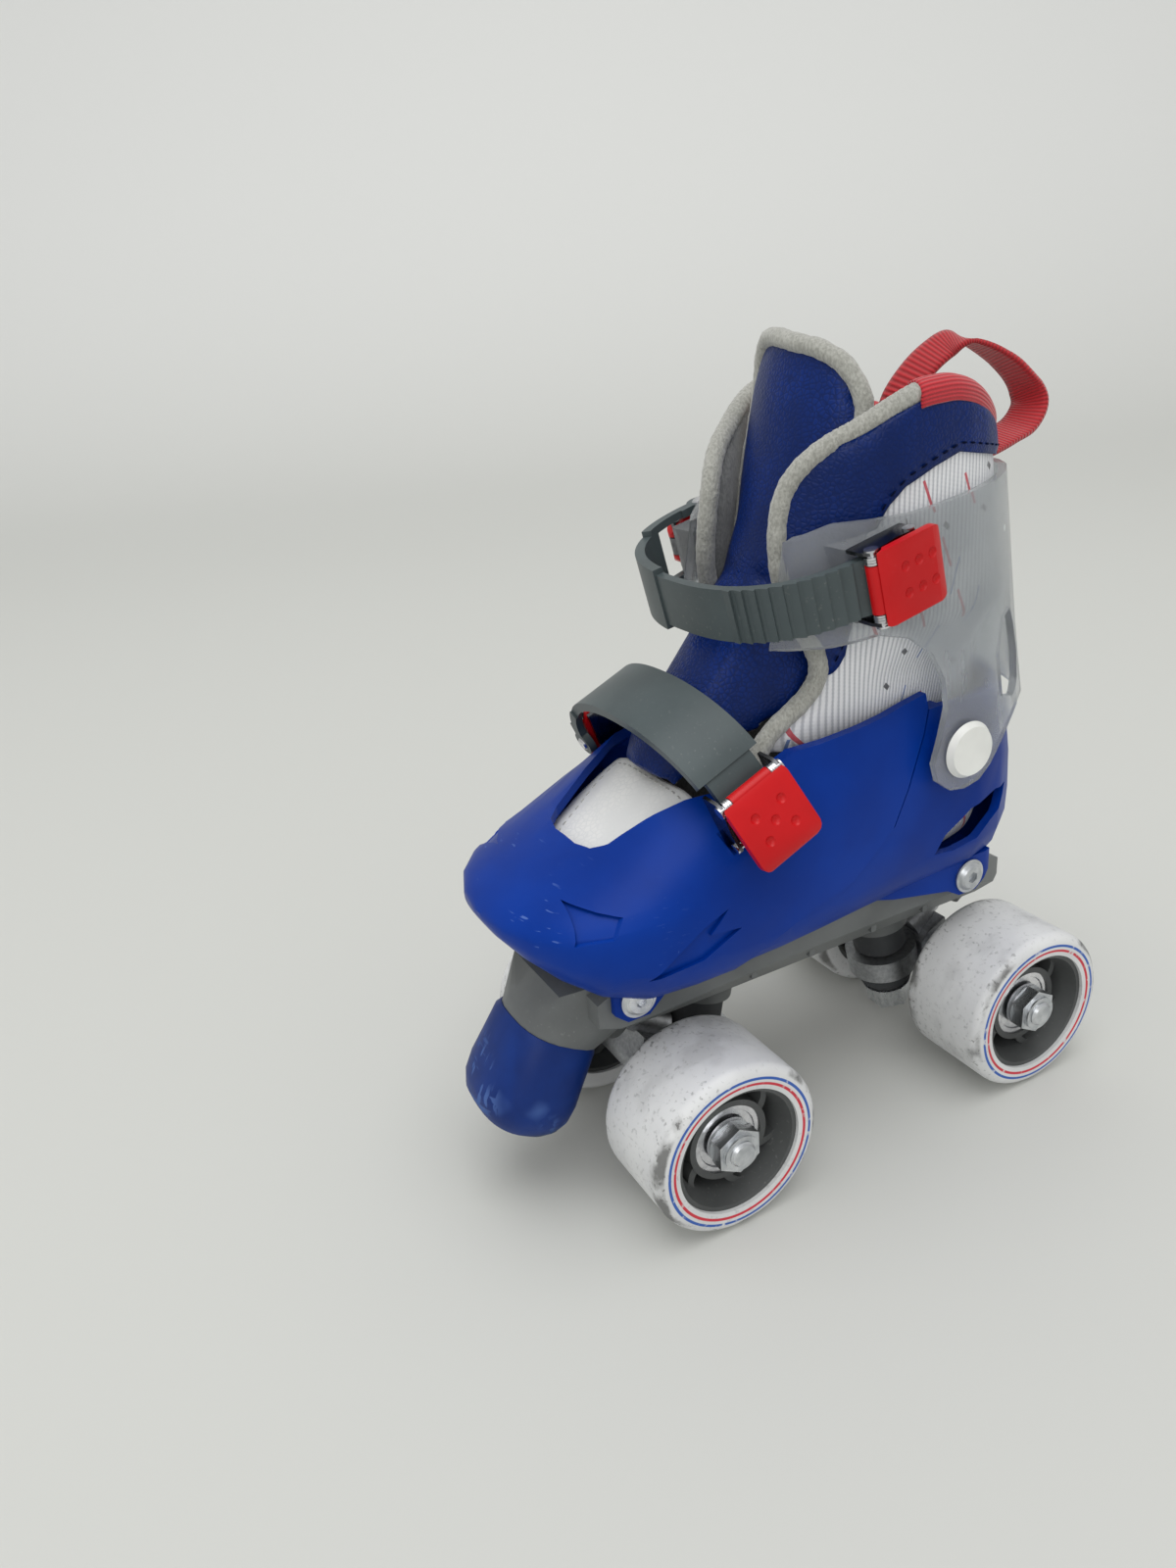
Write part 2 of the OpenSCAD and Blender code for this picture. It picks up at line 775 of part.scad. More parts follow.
module toe_shell() {
  rail_z = sole_z + sole_t + free;
  color("RoyalBlue")
    place()
      union() {
        difference() {
          foot(function (y) 0);
          difference() {
            foot(function (y) shell_wall);
            pocket_walls();
            translate([-rail_half, -104, rail_z]) cube([2 * rail_half, 12, rail_t + 3]);
          }
          behind_seam(0);
          side(toe_rim, -60, 60);
          instep();
          translate([-60, -90, 40]) cube([120, 200, 71 - 40]);
          plan(outline(flange_t + 0.3 + free, -90, 70), 40, sole_z + sole_t + 1 + free);
          plan(outline(flange_t + 0.3 + head_t + free, -90, -40), 40, front_bolt_z + bolt_d / 2 + 2.6 + free);
          seat_clear();
          toe_marks();
        }
        difference() {
          translate([-rail_half, -93, rail_z]) cube([2 * rail_half, 93 + size_travel, rail_t]);
          translate([-3.2, lock_y, sole_z]) cube([6.4, size_travel, 9]);
          for (y = [0, size_travel])
            translate([0, lock_y + y, sole_z]) cylinder(r = 3.2, h = 9, $fn = 32);
        }
      }
}

// Walls of the pockets of the toe buckle and the toe lever, inside the shell
module pocket_walls() {
  toe_frame() {
    translate([toe_px - path_up - 1.8, -12, -flap_half - 2.6]) cube([20, 24, 2 * flap_half + 5.2]);
    lever_side(toe_px, toe_lever_lean) translate([-1.8, -16, -9.6]) cube([20, 36, 19.2]);
  }
}

// Room above the two pocket floors
module seat_clear() {
  toe_frame() {
    translate([toe_px - path_up, -30, -flap_half - 1]) cube([30, 39.4, 2 * flap_half + 2]);
    lever_side(toe_px, toe_lever_lean) translate([0, -30, -8]) cube([30, 46, 16]);
    lever_side(toe_px, toe_lever_lean) translate([1.6, -30, -8]) cube([30, 70, 16]);
  }
}

// Recesses moulded into the sides of the toe
module toe_marks() {
  difference() {
    for (m = [0, 1])
      mirror([m, 0, 0]) {
        side([[-93, 96], [-84, 97.5], [-80, 102], [-90, 103.5]], 0, 60);
        side([[-76, 83], [-60, 95], [-52, 98], [-58, 92], [-48, 91], [-60, 85]], 0, 60);
      }
    foot(function (y) 1.1);
  }
}

module size_button() {
  color("Red")
    place()
      translate([0, lock_y, 0])
        union() {
          translate([0, 0, sole_z - plate_t - 9]) cylinder(r = 6, h = 10.4, $fn = 48);
          translate([0, 0, sole_z - plate_t])
            cylinder(r = 2.6, h = plate_t + sole_t + free + rail_t, $fn = 32);
        }
}

module size_spring() {
  turns = 3;
  color("Silver")
    place()
      translate([0, lock_y, sole_z - plate_t + 1.8])
        for (i = [0 : turns - 1])
          translate([0, 0, 0.4 * i])
            tube(5.2, 4.4, 0.3);
}

module cuff_frame() {
  translate([0, cuff_o[0], cuff_o[1]])
    rotate([cuff_tilt, 0, 0])
      children();
}

module toe_frame() {
  translate([0, toe_o[0], toe_o[1]])
    rotate([toe_tilt - 90, 0, 0])
      children();
}

cuff_side = [[-40, 184], [-16, 186], [-7, 190], [14, 190.5], [34, 193], [58, 196], [80, 196.5],
  [90, 128], [62, 126], [52, 119], [45.5, 112], [40, 108.6], [34, 107.5], [28, 108.6],
  [23.2, 112.4], [21.6, 118], [24.5, 126], [26.8, 134], [25.4, 143], [21, 151], [13, 157],
  [3, 159.5], [-9, 158], [-40, 157]];

module cuff() {
  color("Gainsboro", 0.7)
    place()
      difference() {
        union() {
          intersection() {
            difference() {
              leg(100, 200, 0);
              leg(99, 201, cuff_wall);
            }
            side(cuff_side, -60, 60);
          }
          difference() {
            intersection() {
              cuff_frame() {
                translate([cuff_half - 12, -9, -flap_half]) cube([12, 21, 2 * flap_half]);
                translate([-cuff_half, -13, -7.5]) cube([12, 28, 15]);
              }
              side([[-40, 240], [90, 240], [90, 100], [-40, 100]], -60, 60);
            }
            leg(99, 201, cuff_wall);
          }
        }
        translate([-22, -60, 100]) cube([44, 62, 120]);
        for (m = [0, 1])
          mirror([m, 0, 0])
            translate([0, ankle_y, ankle_z]) along_x(rivet_d / 2 + run, 20, 60);
        side([[51, 131], [58, 129], [63, 133], [64, 141], [61, 150], [56, 156], [51.5, 154],
          [49, 144]], -60, 60);
      }
}

module ankle_rivets() {
  face = leg_half(ankle_z) + free;
  color("White")
    place()
      for (m = [0, 1])
        mirror([m, 0, 0])
          translate([0, ankle_y, ankle_z])
            union() {
              along_x(rivet_d / 2, heel_half - 7, face + 1);
              translate([face, 0, 0])
                rotate([0, 90, 0])
                  cylinder(r1 = 8.6, r2 = 7.4, h = 1.8, $fn = 64);
            }
}

// Straps, in a frame whose arch points to -y, ratchet side +x, lever side -x

function arch(a, k) = [k[0] * spow(cos(a), 2 / k[2]), -k[1] * pow(abs(sin(a)), 2 / k[2])];
function arch_n(a, k) =
  let (p = arch(a - 0.5, k), q = arch(a + 0.5, k), t = (q - p) / norm(q - p)) [t[1], -t[0]];
function band(a0, a1, lo, hi, k, m) = concat(
  [for (i = [0 : m]) let (a = mix(a0, a1, i / m)) arch(a, k) + hi * arch_n(a, k)],
  [for (i = [m : -1 : 0]) let (a = mix(a0, a1, i / m)) arch(a, k) + lo * arch_n(a, k)]);
// End of the toothed part, an arc about the fork pins
function swing(y, r, k) = [sqrt(pow(2 * k[0] + r, 2) - y * y) - k[0], y];
function tail(lo, hi, y1, k) = concat([for (i = [0 : 6]) swing(y1 * i / 6, hi, k)],
  [for (i = [6 : -1 : 0]) swing(y1 * i / 6, lo, k)]);

// k holds the half span, the depth and the squareness of the arch
module strap(k, teeth, pad_half, a_step) {
  h = strap_t / 2;
  hl = ladder_w / 2;
  px = k[0];
  color("DimGray")
    difference() {
      union() {
        translate([0, 0, -hl])
          linear_extrude(2 * hl)
            union() {
              polygon(band(a_step - 2, 359.2, -h, h, k, 30));
              polygon(tail(-h, h, ladder_end, k));
              polygon([arch(358, k) - [h, 0], arch(358, k) + [h, 0], swing(1, h, k), swing(1, -h, k)]);
              for (i = [0 : teeth - 1]) tooth(i, k);
            }
        translate([0, 0, -pad_half])
          linear_extrude(2 * pad_half)
            polygon(band(200, a_step, -h, h + 0.6, k, 24));
        for (m = [-1, 1])
          translate([0, 0, m * (fork_in + fork_t / 2) - fork_t / 2])
            linear_extrude(fork_t)
              union() {
                polygon(band(182, 214, -h, h + 0.6, k, 12));
                translate([-px, 0]) circle(r = 4, $fn = 40);
                polygon([[-px - 2, 0], [-px + 1.6, 0], [-px + 2.4, -8], [-px - 1.4, -8]]);
              }
      }
      translate([-px - 14, -slot_y, -fork_in]) cube([24, slot_y + 12, 2 * fork_in]);
      translate([-px, 0, 0]) cylinder(d = pin_d + 2 * seat, h = 60, center = true, $fn = 32);
    }
}

// One strap tooth, counted from the free end
module tooth(i, k) {
  s = ladder_end - 1.4 - i * tooth_pitch;
  h = strap_t / 2;
  e = tooth_pitch - 0.9;
  if (s > 0) {
    polygon([swing(s, h - 0.3, k), swing(s, h + tooth_h, k), swing(s - e, h, k), swing(s - e, h - 0.3, k)]);
  } else {
    a = arch_angle(-s, k);
    b = arch_angle(-s + e, k);
    p = arch(a, k);
    q = arch(b, k);
    u = arch_n(a, k);
    v = arch_n(b, k);
    polygon([p + (h - 0.3) * u, p + (h + tooth_h) * u, q + h * v, q + (h - 0.3) * v]);
  }
}

// Angle of the arch at a length along it from the ratchet side
function arch_len(i, k) = i <= 0
  ? 0
  : arch_len(i - 1, k) + norm(arch(360 - 2 * i, k) - arch(360 - 2 * (i - 1), k));
function arch_find(l, i, k) = i > 88 || arch_len(i, k) >= l ? i : arch_find(l, i + 1, k);
function arch_angle(l, k) =
  let (i = max(1, arch_find(l, 1, k)), u = arch_len(i - 1, k), v = arch_len(i, k))
  360 - 2 * (i - 1 + clamp((l - u) / max(0.001, v - u)));

module strap_pins(px) {
  color("Silver")
    for (m = [0, 1])
      mirror([0, 0, m])
        translate([-px, 0, 0]) {
          translate([0, 0, fork_in]) cylinder(d = pin_d, h = fork_t + 0.1, $fn = 32);
          translate([0, 0, fork_in + fork_t + seat])
            cylinder(d1 = pin_d + 1.6, d2 = pin_d + 0.6, h = 0.6, $fn = 32);
        }
}

// Ratchet buckle, on the +x seat; px is the distance of the strap, lean the tilt of the flap

module buckle(px) {
  ear = [[0, -8.6], [5.4, -8.6], [7.8, -7.6], [7.8, -5], [6.6, 2], [7, 6], [7, 8], [5, 9.2], [0, 9.2]];
  color("DarkSlateGray")
    translate([px - path_up, 0, 0])
      difference() {
        union() {
          translate([seat, -1, -ear_in - ear_t]) cube([plate_up - seat, 10.2, 2 * (ear_in + ear_t)]);
          for (m = [0, 1])
            mirror([0, 0, m])
              translate([seat, 0, ear_in])
                linear_extrude(ear_t)
                  polygon(ear);
        }
        translate([pin_up, pin_y, 0]) cylinder(d = pin_d + 2 * seat, h = 60, center = true, $fn = 32);
        translate([rear_pin[0], rear_pin[1], 0])
          cylinder(d = pin_d - 0.6 + 2 * seat, h = 60, center = true, $fn = 32);
        translate([-1, 3, 0]) rotate([0, 90, 0]) cylinder(d = 3, h = 4, $fn = 32);
      }
}

module buckle_pins(px) {
  half = ear_in + ear_t;
  color("Silver")
    translate([px - path_up, 0, 0]) {
      translate([pin_up, pin_y, 0]) {
        cylinder(d = pin_d, h = 2 * half, center = true, $fn = 32);
        for (m = [-1, 1])
          translate([0, 0, m * (half + 0.25 + seat)])
            cylinder(d = pin_d + 0.8, h = 0.5, center = true, $fn = 32);
      }
      translate([rear_pin[0], rear_pin[1], 0]) {
        cylinder(d = pin_d - 0.6, h = 2 * half, center = true, $fn = 32);
        for (m = [-1, 1])
          translate([0, 0, m * (half + 0.25 + seat)])
            cylinder(d = pin_d + 0.4, h = 0.5, center = true, $fn = 32);
      }
    }
}

module flap(px, lean, dimples) {
  hub_half_w = ear_in - 2.6;
  tip = strap_up + strap_t + tooth_h + free;
  lo = flap_lo - pin_up;
  color("Red")
    translate([px - path_up + pin_up, pin_y, 0])
      difference() {
        union() {
          rotate(-lean)
            intersection() {
              translate([0, 0, -flap_half])
                linear_extrude(2 * flap_half)
                  polygon([[lo, 0.6], [lo + flap_t - 0.9, -0.6], [lo + flap_t, 1.4], [lo + flap_t, 17],
                    [lo + flap_t - 0.7, 19.4], [lo + 0.5, 20.4], [lo - 0.6, 20.4], [lo - 0.2, 18.6]]);
              rotate([0, 90, 0])
                linear_extrude(40, center = true)
                  polygon([for (c = [[1, -1], [1, 1], [-1, 1], [-1, -1]]) for (i = [0 : 4])
                    let (q = 90 * i / 4, b = c[0] * c[1] < 0 ? 90 - q : q, r = c[1] > 0 ? 3.4 : 1.6)
                    [c[0] * (flap_half - r + r * cos(b)), 9.8 + c[1] * (10.8 - r + r * sin(b))]]);
            }
          cylinder(r = 2.2, h = 2 * hub_half_w, center = true, $fn = 40);
          translate([0, 0, -hub_half_w])
            linear_extrude(2 * hub_half_w)
              polygon([[-1.4, 1.4], [0.6, 0.6], turn([lo + 0.3, 1], lean), turn([lo + 0.3, 8], lean),
                [tip - pin_up + 0.5, 9.4], [tip - pin_up, 8.8], [tip - pin_up + 0.6, 6.2]]);
        }
        cylinder(d = pin_d + 2 * run, h = 60, center = true, $fn = 32);
        for (m = [0, 1])
          mirror([0, 0, m])
            translate([0, 0, hub_half_w]) cylinder(r = 2.5, h = ear_in + ear_t + 1 - hub_half_w, $fn = 32);
        rotate(-lean)
          for (d = dimples)
            translate([lo + flap_t + 1.1, d[0], d[1]]) sphere(r = 1.8, $fn = 24);
      }
}
function turn(p, a) = [p[0] * cos(a) + p[1] * sin(a), p[1] * cos(a) - p[0] * sin(a)];

module flap_springs(px) {
  color("Silver")
    translate([px - path_up + pin_up, pin_y, 0])
      for (m = [0, 1])
        mirror([0, 0, m])
          for (i = [0 : 2])
            translate([0, 0, ear_in - 2.3 + 0.7 * i]) tube(2.1, pin_d / 2 + run, 0.6);
}

// Tightening lever, on the -x seat

// Frame on the lever seat, its x axis outwards, leaning about the fork pins
module lever_side(px, lean) {
  mirror([1, 0, 0])
    translate([px, 0, 0])
      rotate(-lean)
        translate([-path_up, 0, 0])
          children();
}

module lever_base(px, lean) {
  color("DarkSlateGray")
    lever_side(px, lean) {
      difference() {
        union() {
          translate([seat, -11, -6.5]) cube([1.2, 24, 13]);
          translate([0, 0, -2.7])
            linear_extrude(5.4)
              union() {
                translate([lever_pin_up, lever_pin_y]) circle(r = 2.9, $fn = 40);
                translate([1, lever_pin_y - 2.6]) square([lever_pin_up - 1, 5.2]);
              }
        }
        translate([-1, 8, 0]) rotate([0, 90, 0]) cylinder(d = 3, h = 4, $fn = 32);
      }
      translate([lever_pin_up, lever_pin_y, 0])
        cylinder(d = pin_d, h = lever_w - 1, center = true, $fn = 32);
    }
}

function stadium(r, y0, y1) = concat(
  [for (i = [0 : 12]) [r * cos(15 * i), y1 - r + r * sin(15 * i)]],
  [for (i = [12 : 24]) [r * cos(15 * i), y0 + r + r * sin(15 * i)]]);

module lever(px, lean) {
  y1 = lever_pin_y - 4.2 + lever_l;
  color("Red")
    lever_side(px, lean)
      difference() {
        intersection() {
          translate([0, 0, -lever_w / 2])
            linear_extrude(lever_w)
              polygon(concat([[1.7, lever_pin_y + 4.5], [1.9, -3], [2, 20], [3.4, y1], [6.2, y1],
                [8.3, y1 - 12], [9, lever_pin_y + 3.4]],
                [for (i = [0 : 10])
                  let (u = 10 - 20 * i)
                  [lever_pin_up + 3 * cos(u), lever_pin_y + 3 * sin(u)]]));
          rotate([0, 90, 0])
            linear_extrude(30)
              polygon(stadium(lever_w / 2, lever_pin_y - 4.2, y1));
        }
        translate([-1, lever_pin_y - 8, -2.7 - free]) cube([12, 15, 5.4 + 2 * free]);
        translate([lever_pin_up, lever_pin_y, 0])
          cylinder(d = pin_d + 2 * run, h = 60, center = true, $fn = 32);
        translate([6.4, 0, 0])
          rotate([0, 90, 0])
            linear_extrude(9)
              polygon(stadium(4.8 + seat, lever_pin_y + 6.6, y1 + 6));
      }
}

module inlay(px, lean) {
  y1 = lever_pin_y - 4.2 + lever_l;
  color("White")
    lever_side(px, lean)
      union() {
        intersection() {
          translate([6.4 + seat, 0, 0])
            rotate([0, 90, 0])
              linear_extrude(9)
                polygon(stadium(4.8, lever_pin_y + 6.6 + seat, y1 + 2));
          translate([0, 0, -8])
            linear_extrude(16)
              polygon([[6, -4], [9.2, -4], [9.9, 4], [9.4, y1 - 12], [9.6, y1], [9.2, y1 + 3],
                [7.6, y1 + 3], [6.5, y1 - 4], [6, y1 - 12]]);
        }
        for (i = [0 : 2])
          translate([9.2, 6 + 7 * i, -2.4]) cube([1, 1.4, 4.8]);
      }
}

// Liner

collar = [[-40, 170], [-20, 180], [-17, 195], [-12, 204.5], [-4, 208.5], [3, 212.5], [10, 217],
  [17, 220], [27, 220.5], [35, 218.5], [43, 214], [49, 209.5], [55, 207], [90, 205], [90, 300],
  [-60, 300], [-60, 170]];
liner_z = sole_z + sole_t + free + rail_t + free;
slot = tongue_w / 2 + free;
footbed_t = 4;

module liner() {
  color("WhiteSmoke")
    place()
      difference() {
        union() {
          intersection() {
            foot(function (y) liner_in, liner_n, liner_stations);
            side([[-110, 60], [-110, 125], [-60, 125], [-50, 127], [-30, 140], [-10, 150],
              [90, 160], [90, 60]], -60, 60);
          }
          leg_pad(128, 223, 0);
        }
        intersection() {
          foot(function (y) liner_in + pad_t, liner_n, liner_stations);
          side([[-110, 60], [-110, 120], [-60, 121], [-30, 240], [90, 240], [90, 60]], -60, 60);
        }
        leg_pad(126, 224, pad_t);
        side(collar, -60, 60);
        slab(0, liner_z);
        plan([[-18, -58], [18, -58], [slot, -42], [slot, 8], [-slot, 8], [-slot, -42]], 117, 240);
        side([[-80, 118], [-30, 118], [-30, 126], [-24, 137], [-18, 146], [-18, 163], [-80, 163]], -60, 60);
      }
}

tongue_path = [[-53, 124], [-45, 132], [-33, 142], [-20, 156], [-9.5, 170], [-3.5, 185], [1, 203],
  [5, 220], [6, tongue_z]];

module tongue() {
  k = len(tongue_path);
  color("RoyalBlue")
    place()
      skin([for (i = [0 : k - 1])
        let (p = tongue_path[i], u = tongue_path[max(0, i - 1)], v = tongue_path[min(k - 1, i + 1)])
        let (t = (v - u) / norm(v - u), part = i < 2 ? 0.62 + 0.16 * i : i == k - 1 ? 0.94 : 1)
        let (w = part * tongue_w / 2)
        let (h = i == 0 || i == k - 1 ? 1.6 : 3, bend = 7)
        [for (j = [0 : 23])
          let (a = -15 * j, c = spow(cos(a), 0.8), q = h * spow(sin(a), 0.8) + bend * c * c - h)
          [w * c, p[0] + q * t[1], p[1] - q * t[0]]]]);
}

module toe_patch() {
  color("White")
    place()
      intersection() {
        difference() {
          foot(function (y) liner_in - 2.4, liner_n, liner_stations);
          foot(function (y) liner_in - 0.3, liner_n, liner_stations);
        }
        translate([0, -toe_reach, 0])
          plan([[0, 25], [8, 25.5], [15, 28], [19, 35], [22, 44], [23, 52], [-23, 52], [-22, 44],
            [-19, 35], [-15, 28], [-8, 25.5]], 100, 130);
      }
}

module footbed() {
  color("DimGray")
    place()
      intersection() {
        foot(function (y) liner_in + pad_t + 0.4, liner_n, liner_stations);
        slab(liner_z + seat, liner_z + seat + footbed_t);
      }
}

loop_path = [[-12, 49, 209.9], [-11.5, 54, 217.5], [-9, 63, 225], [-5.5, 72, 229],
  [-1.5, 81, 228.5], [1.5, 88, 224], [3, 90.5, 217], [3.5, 89, 209], [3, 84, 203], [2, 77, 200.5],
  [1, 69, 199.8], [0, 61.8, 199.6]];

// Way across the webbing
loop_side = [0.94, 0.3, 0.14];

module pull_loop() {
  k = len(loop_path);
  color("Red")
    place()
      skin([for (i = [0 : k - 1])
        let (p = loop_path[i] + [0, loop_reach - 93, 0])
        let (u = loop_path[max(0, i - 1)], v = loop_path[min(k - 1, i + 1)])
        let (t = (v - u) / norm(v - u), s = loop_side - t * (t * loop_side))
        let (x = s / norm(s), n = cross(t, x))
        [for (c = [[1, -1], [-1, -1], [-1, 1], [1, 1]]) p + x * c[0] * loop_w / 2 + n * c[1] * 0.7]]);
}

cuff_dimples = [for (y = [7, 11.5, 16], z = [-3.6, 3.6]) [y, z]];
toe_dimples = [[6, -4.4], [6, 4.4], [9.6, 0], [13.2, -4.4], [13.2, 4.4]];

chassis();
base_shell();
base_bolts();
toe_stop();
toe_stop_bolt();
truck_end(-1) kingpin();  // front_kingpin
truck_end(1) kingpin();  // rear_kingpin
truck_end(-1) kingpin_nut();  // front_kingpin_nut
truck_end(1) kingpin_nut();  // rear_kingpin_nut
truck_end(-1) cushions();  // front_cushions
truck_end(1) cushions();  // rear_cushions
union() { truck_end(-1) pivot_cup(); truck_end(1) pivot_cup(); }  // pivot_cups
truck_end(-1) truck();  // front_truck
truck_end(1) truck();  // rear_truck
truck_end(-1) axle();  // front_axle
truck_end(1) axle();  // rear_axle
truck_end(-1) axle_nuts();  // front_axle_nuts
truck_end(1) axle_nuts();  // rear_axle_nuts
wheel_place(-1, 1) tyre();  // tyre_fl
wheel_place(-1, -1) tyre();  // tyre_fr
wheel_place(1, 1) tyre();  // tyre_rl
wheel_place(1, -1) tyre();  // tyre_rr
wheel_place(-1, 1) hub();  // hub_fl
wheel_place(-1, -1) hub();  // hub_fr
wheel_place(1, 1) hub();  // hub_rl
wheel_place(1, -1) hub();  // hub_rr
wheel_place(-1, 1) bearings();  // bearings_fl
wheel_place(-1, -1) bearings();  // bearings_fr
wheel_place(1, 1) bearings();  // bearings_rl
wheel_place(1, -1) bearings();  // bearings_rr
toe_shell();
size_button();
size_spring();
cuff();
ankle_rivets();
place() cuff_frame() strap([cuff_px, cuff_arch, 2.5], 15, 9, 262);  // cuff_strap
place() toe_frame() strap([toe_px, toe_arch, 2.15], 4, 10, 334);  // toe_strap
place() cuff_frame() strap_pins(cuff_px);  // cuff_strap_pins
place() toe_frame() strap_pins(toe_px);  // toe_strap_pins
place() cuff_frame() buckle(cuff_px);  // cuff_buckle
place() toe_frame() buckle(toe_px);  // toe_buckle
place() cuff_frame() buckle_pins(cuff_px);  // cuff_buckle_pins
place() toe_frame() buckle_pins(toe_px);  // toe_buckle_pins
place() cuff_frame() flap(cuff_px, 0, cuff_dimples);  // cuff_flap
place() toe_frame() flap(toe_px, toe_flap_lean, toe_dimples);  // toe_flap
place() cuff_frame() flap_springs(cuff_px);  // cuff_flap_springs
place() toe_frame() flap_springs(toe_px);  // toe_flap_springs
place() cuff_frame() lever_base(cuff_px, 0);  // cuff_lever_base
place() toe_frame() lever_base(toe_px, toe_lever_lean);  // toe_lever_base
place() cuff_frame() lever(cuff_px, 0);  // cuff_lever
place() toe_frame() lever(toe_px, toe_lever_lean);  // toe_lever
place() cuff_frame() inlay(cuff_px, 0);  // cuff_inlay
place() toe_frame() inlay(toe_px, toe_lever_lean);  // toe_inlay
liner();
tongue();
toe_patch();
footbed();
pull_loop();
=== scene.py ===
# %% [markdown]
# # Dressing an adjustable roller skate
# The hard parts of the skate come in as a fixed frame of solids: wheels, trucks, shells, cuff and
# straps. This lesson gives each of them its finish and then sews the soft boot that sits inside.
# Blender counts in metres and a skate is measured in millimetres, so lengths are written in
# millimetres here and turned into metres where they meet Blender.

# %% Load the frame
import math

import bmesh
import bpy
from mathutils import Matrix, Vector
from mathutils.bvhtree import BVHTree


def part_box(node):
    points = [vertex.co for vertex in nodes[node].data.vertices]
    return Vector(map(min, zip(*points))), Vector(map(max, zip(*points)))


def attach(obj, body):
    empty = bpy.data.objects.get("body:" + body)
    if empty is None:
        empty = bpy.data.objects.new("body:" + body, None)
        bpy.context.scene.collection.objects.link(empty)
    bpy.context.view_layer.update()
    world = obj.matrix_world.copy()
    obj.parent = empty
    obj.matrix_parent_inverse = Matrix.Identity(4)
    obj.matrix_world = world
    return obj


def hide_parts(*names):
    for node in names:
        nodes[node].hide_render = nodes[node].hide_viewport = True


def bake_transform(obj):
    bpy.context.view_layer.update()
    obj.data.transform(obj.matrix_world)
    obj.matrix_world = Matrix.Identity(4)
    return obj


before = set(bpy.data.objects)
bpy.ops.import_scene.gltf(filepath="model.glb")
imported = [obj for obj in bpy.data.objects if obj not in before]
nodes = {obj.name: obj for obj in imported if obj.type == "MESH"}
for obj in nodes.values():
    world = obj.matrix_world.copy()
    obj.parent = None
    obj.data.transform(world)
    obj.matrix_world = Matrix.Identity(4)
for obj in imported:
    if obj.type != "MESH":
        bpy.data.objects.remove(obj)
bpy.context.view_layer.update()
scene = bpy.context.scene
MM = 0.001


def mm(x, y, z):
    """A point or direction given in millimetres."""
    return Vector((x, y, z)) * MM


def put(name, data):
    """A new object of the scene, at the origin."""
    obj = bpy.data.objects.new(name, data)
    scene.collection.objects.link(obj)
    return obj


# %% [markdown]
# ## Camera
# The skate is seen from the front right and a little above, with the camera rolled a few
# degrees. The camera could be turned by hand until the view fits, or aimed by a constraint. But
# its matrix is just its right, up and backward axes beside its place, so the heading, height and
# roll, measured from the ellipses of the near wheels, are turned into those axes directly.

# %% Camera
PHOTO_HIGH = 1600
FOCAL_PX = 1150
SENSOR = 36
NEAREST = 10
HEADING, HEIGHT_ANGLE, ROLL = (math.radians(a) for a in (63.73, 23.48, -5.04))
EYE = mm(258.58, -185.5, 249.11)

back = Vector((math.sin(HEADING) * math.cos(HEIGHT_ANGLE),
               -math.cos(HEADING) * math.cos(HEIGHT_ANGLE), math.sin(HEIGHT_ANGLE)))
level = Vector((math.cos(HEADING), math.sin(HEADING), 0))
rise = back.cross(level)
right = level * math.cos(ROLL) + rise * math.sin(ROLL)
up = rise * math.cos(ROLL) - level * math.sin(ROLL)

camera = put("camera", bpy.data.cameras.new("camera"))
camera.data.sensor_width = SENSOR
camera.data.lens = FOCAL_PX / PHOTO_HIGH * SENSOR
camera.data.clip_start = NEAREST * MM
camera.matrix_world = Matrix((right, up, back)).transposed().to_4x4()
camera.location = EYE
scene.camera = camera
print("camera lens", round(camera.data.lens, 2), "mm")

# %% [markdown]
# ## Shader arithmetic
# Every finish is a small graph of shader nodes. It could be drawn in the node editor or linked
# socket by socket, but both hide the sum that it stands for. So one class wraps a socket and
# turns `+`, `-`, `*`, `/` and `<` into Math nodes, and a mask reads as an expression. Every other
# node comes from one method that takes its type, its settings and what goes into its sockets.


# %% Sockets as numbers
class Value:
    """A node's output that can be used in an expression."""

    def __init__(self, finish, socket):
        self.finish = finish
        self.socket = socket

    def math(self, operation, *others):
        return self.finish.node("ShaderNodeMath", {"operation": operation}, self, *others)

    def __add__(self, other):
        return self.math("ADD", other)

    def __mul__(self, other):
        return self.math("MULTIPLY", other)

    def __sub__(self, other):
        return self.math("SUBTRACT", other)

    def __truediv__(self, other):
        return self.math("DIVIDE", other)

    def __lt__(self, other):
        return self.math("LESS_THAN", other)

    def __rsub__(self, other):
        return self.finish.node("ShaderNodeMath", {"operation": "SUBTRACT"}, other, self)

    __radd__ = __add__
    __rmul__ = __mul__

    def sin(self):
        return self.math("SINE")

    def abs(self):
        return self.math("ABSOLUTE")

    def floor(self):
        return self.math("FLOOR")

    def fract(self):
        return self.math("FRACT")

    def ramp(self, low, high):
        """0 below low, 1 above high and an easy curve between; low may be the larger."""
        if low > high:
            return 1 - self.ramp(high, low)
        return self.finish.node("ShaderNodeMapRange", {"interpolation_type": "SMOOTHSTEP"},
                                self, low, high, 0, 1)

    def split(self):
        """The three parts of a vector."""
        parts = self.finish.node("ShaderNodeSeparateXYZ", {}, self).socket.node
        return [Value(self.finish, parts.outputs[i]) for i in range(3)]


print("a socket takes + - * / and <")


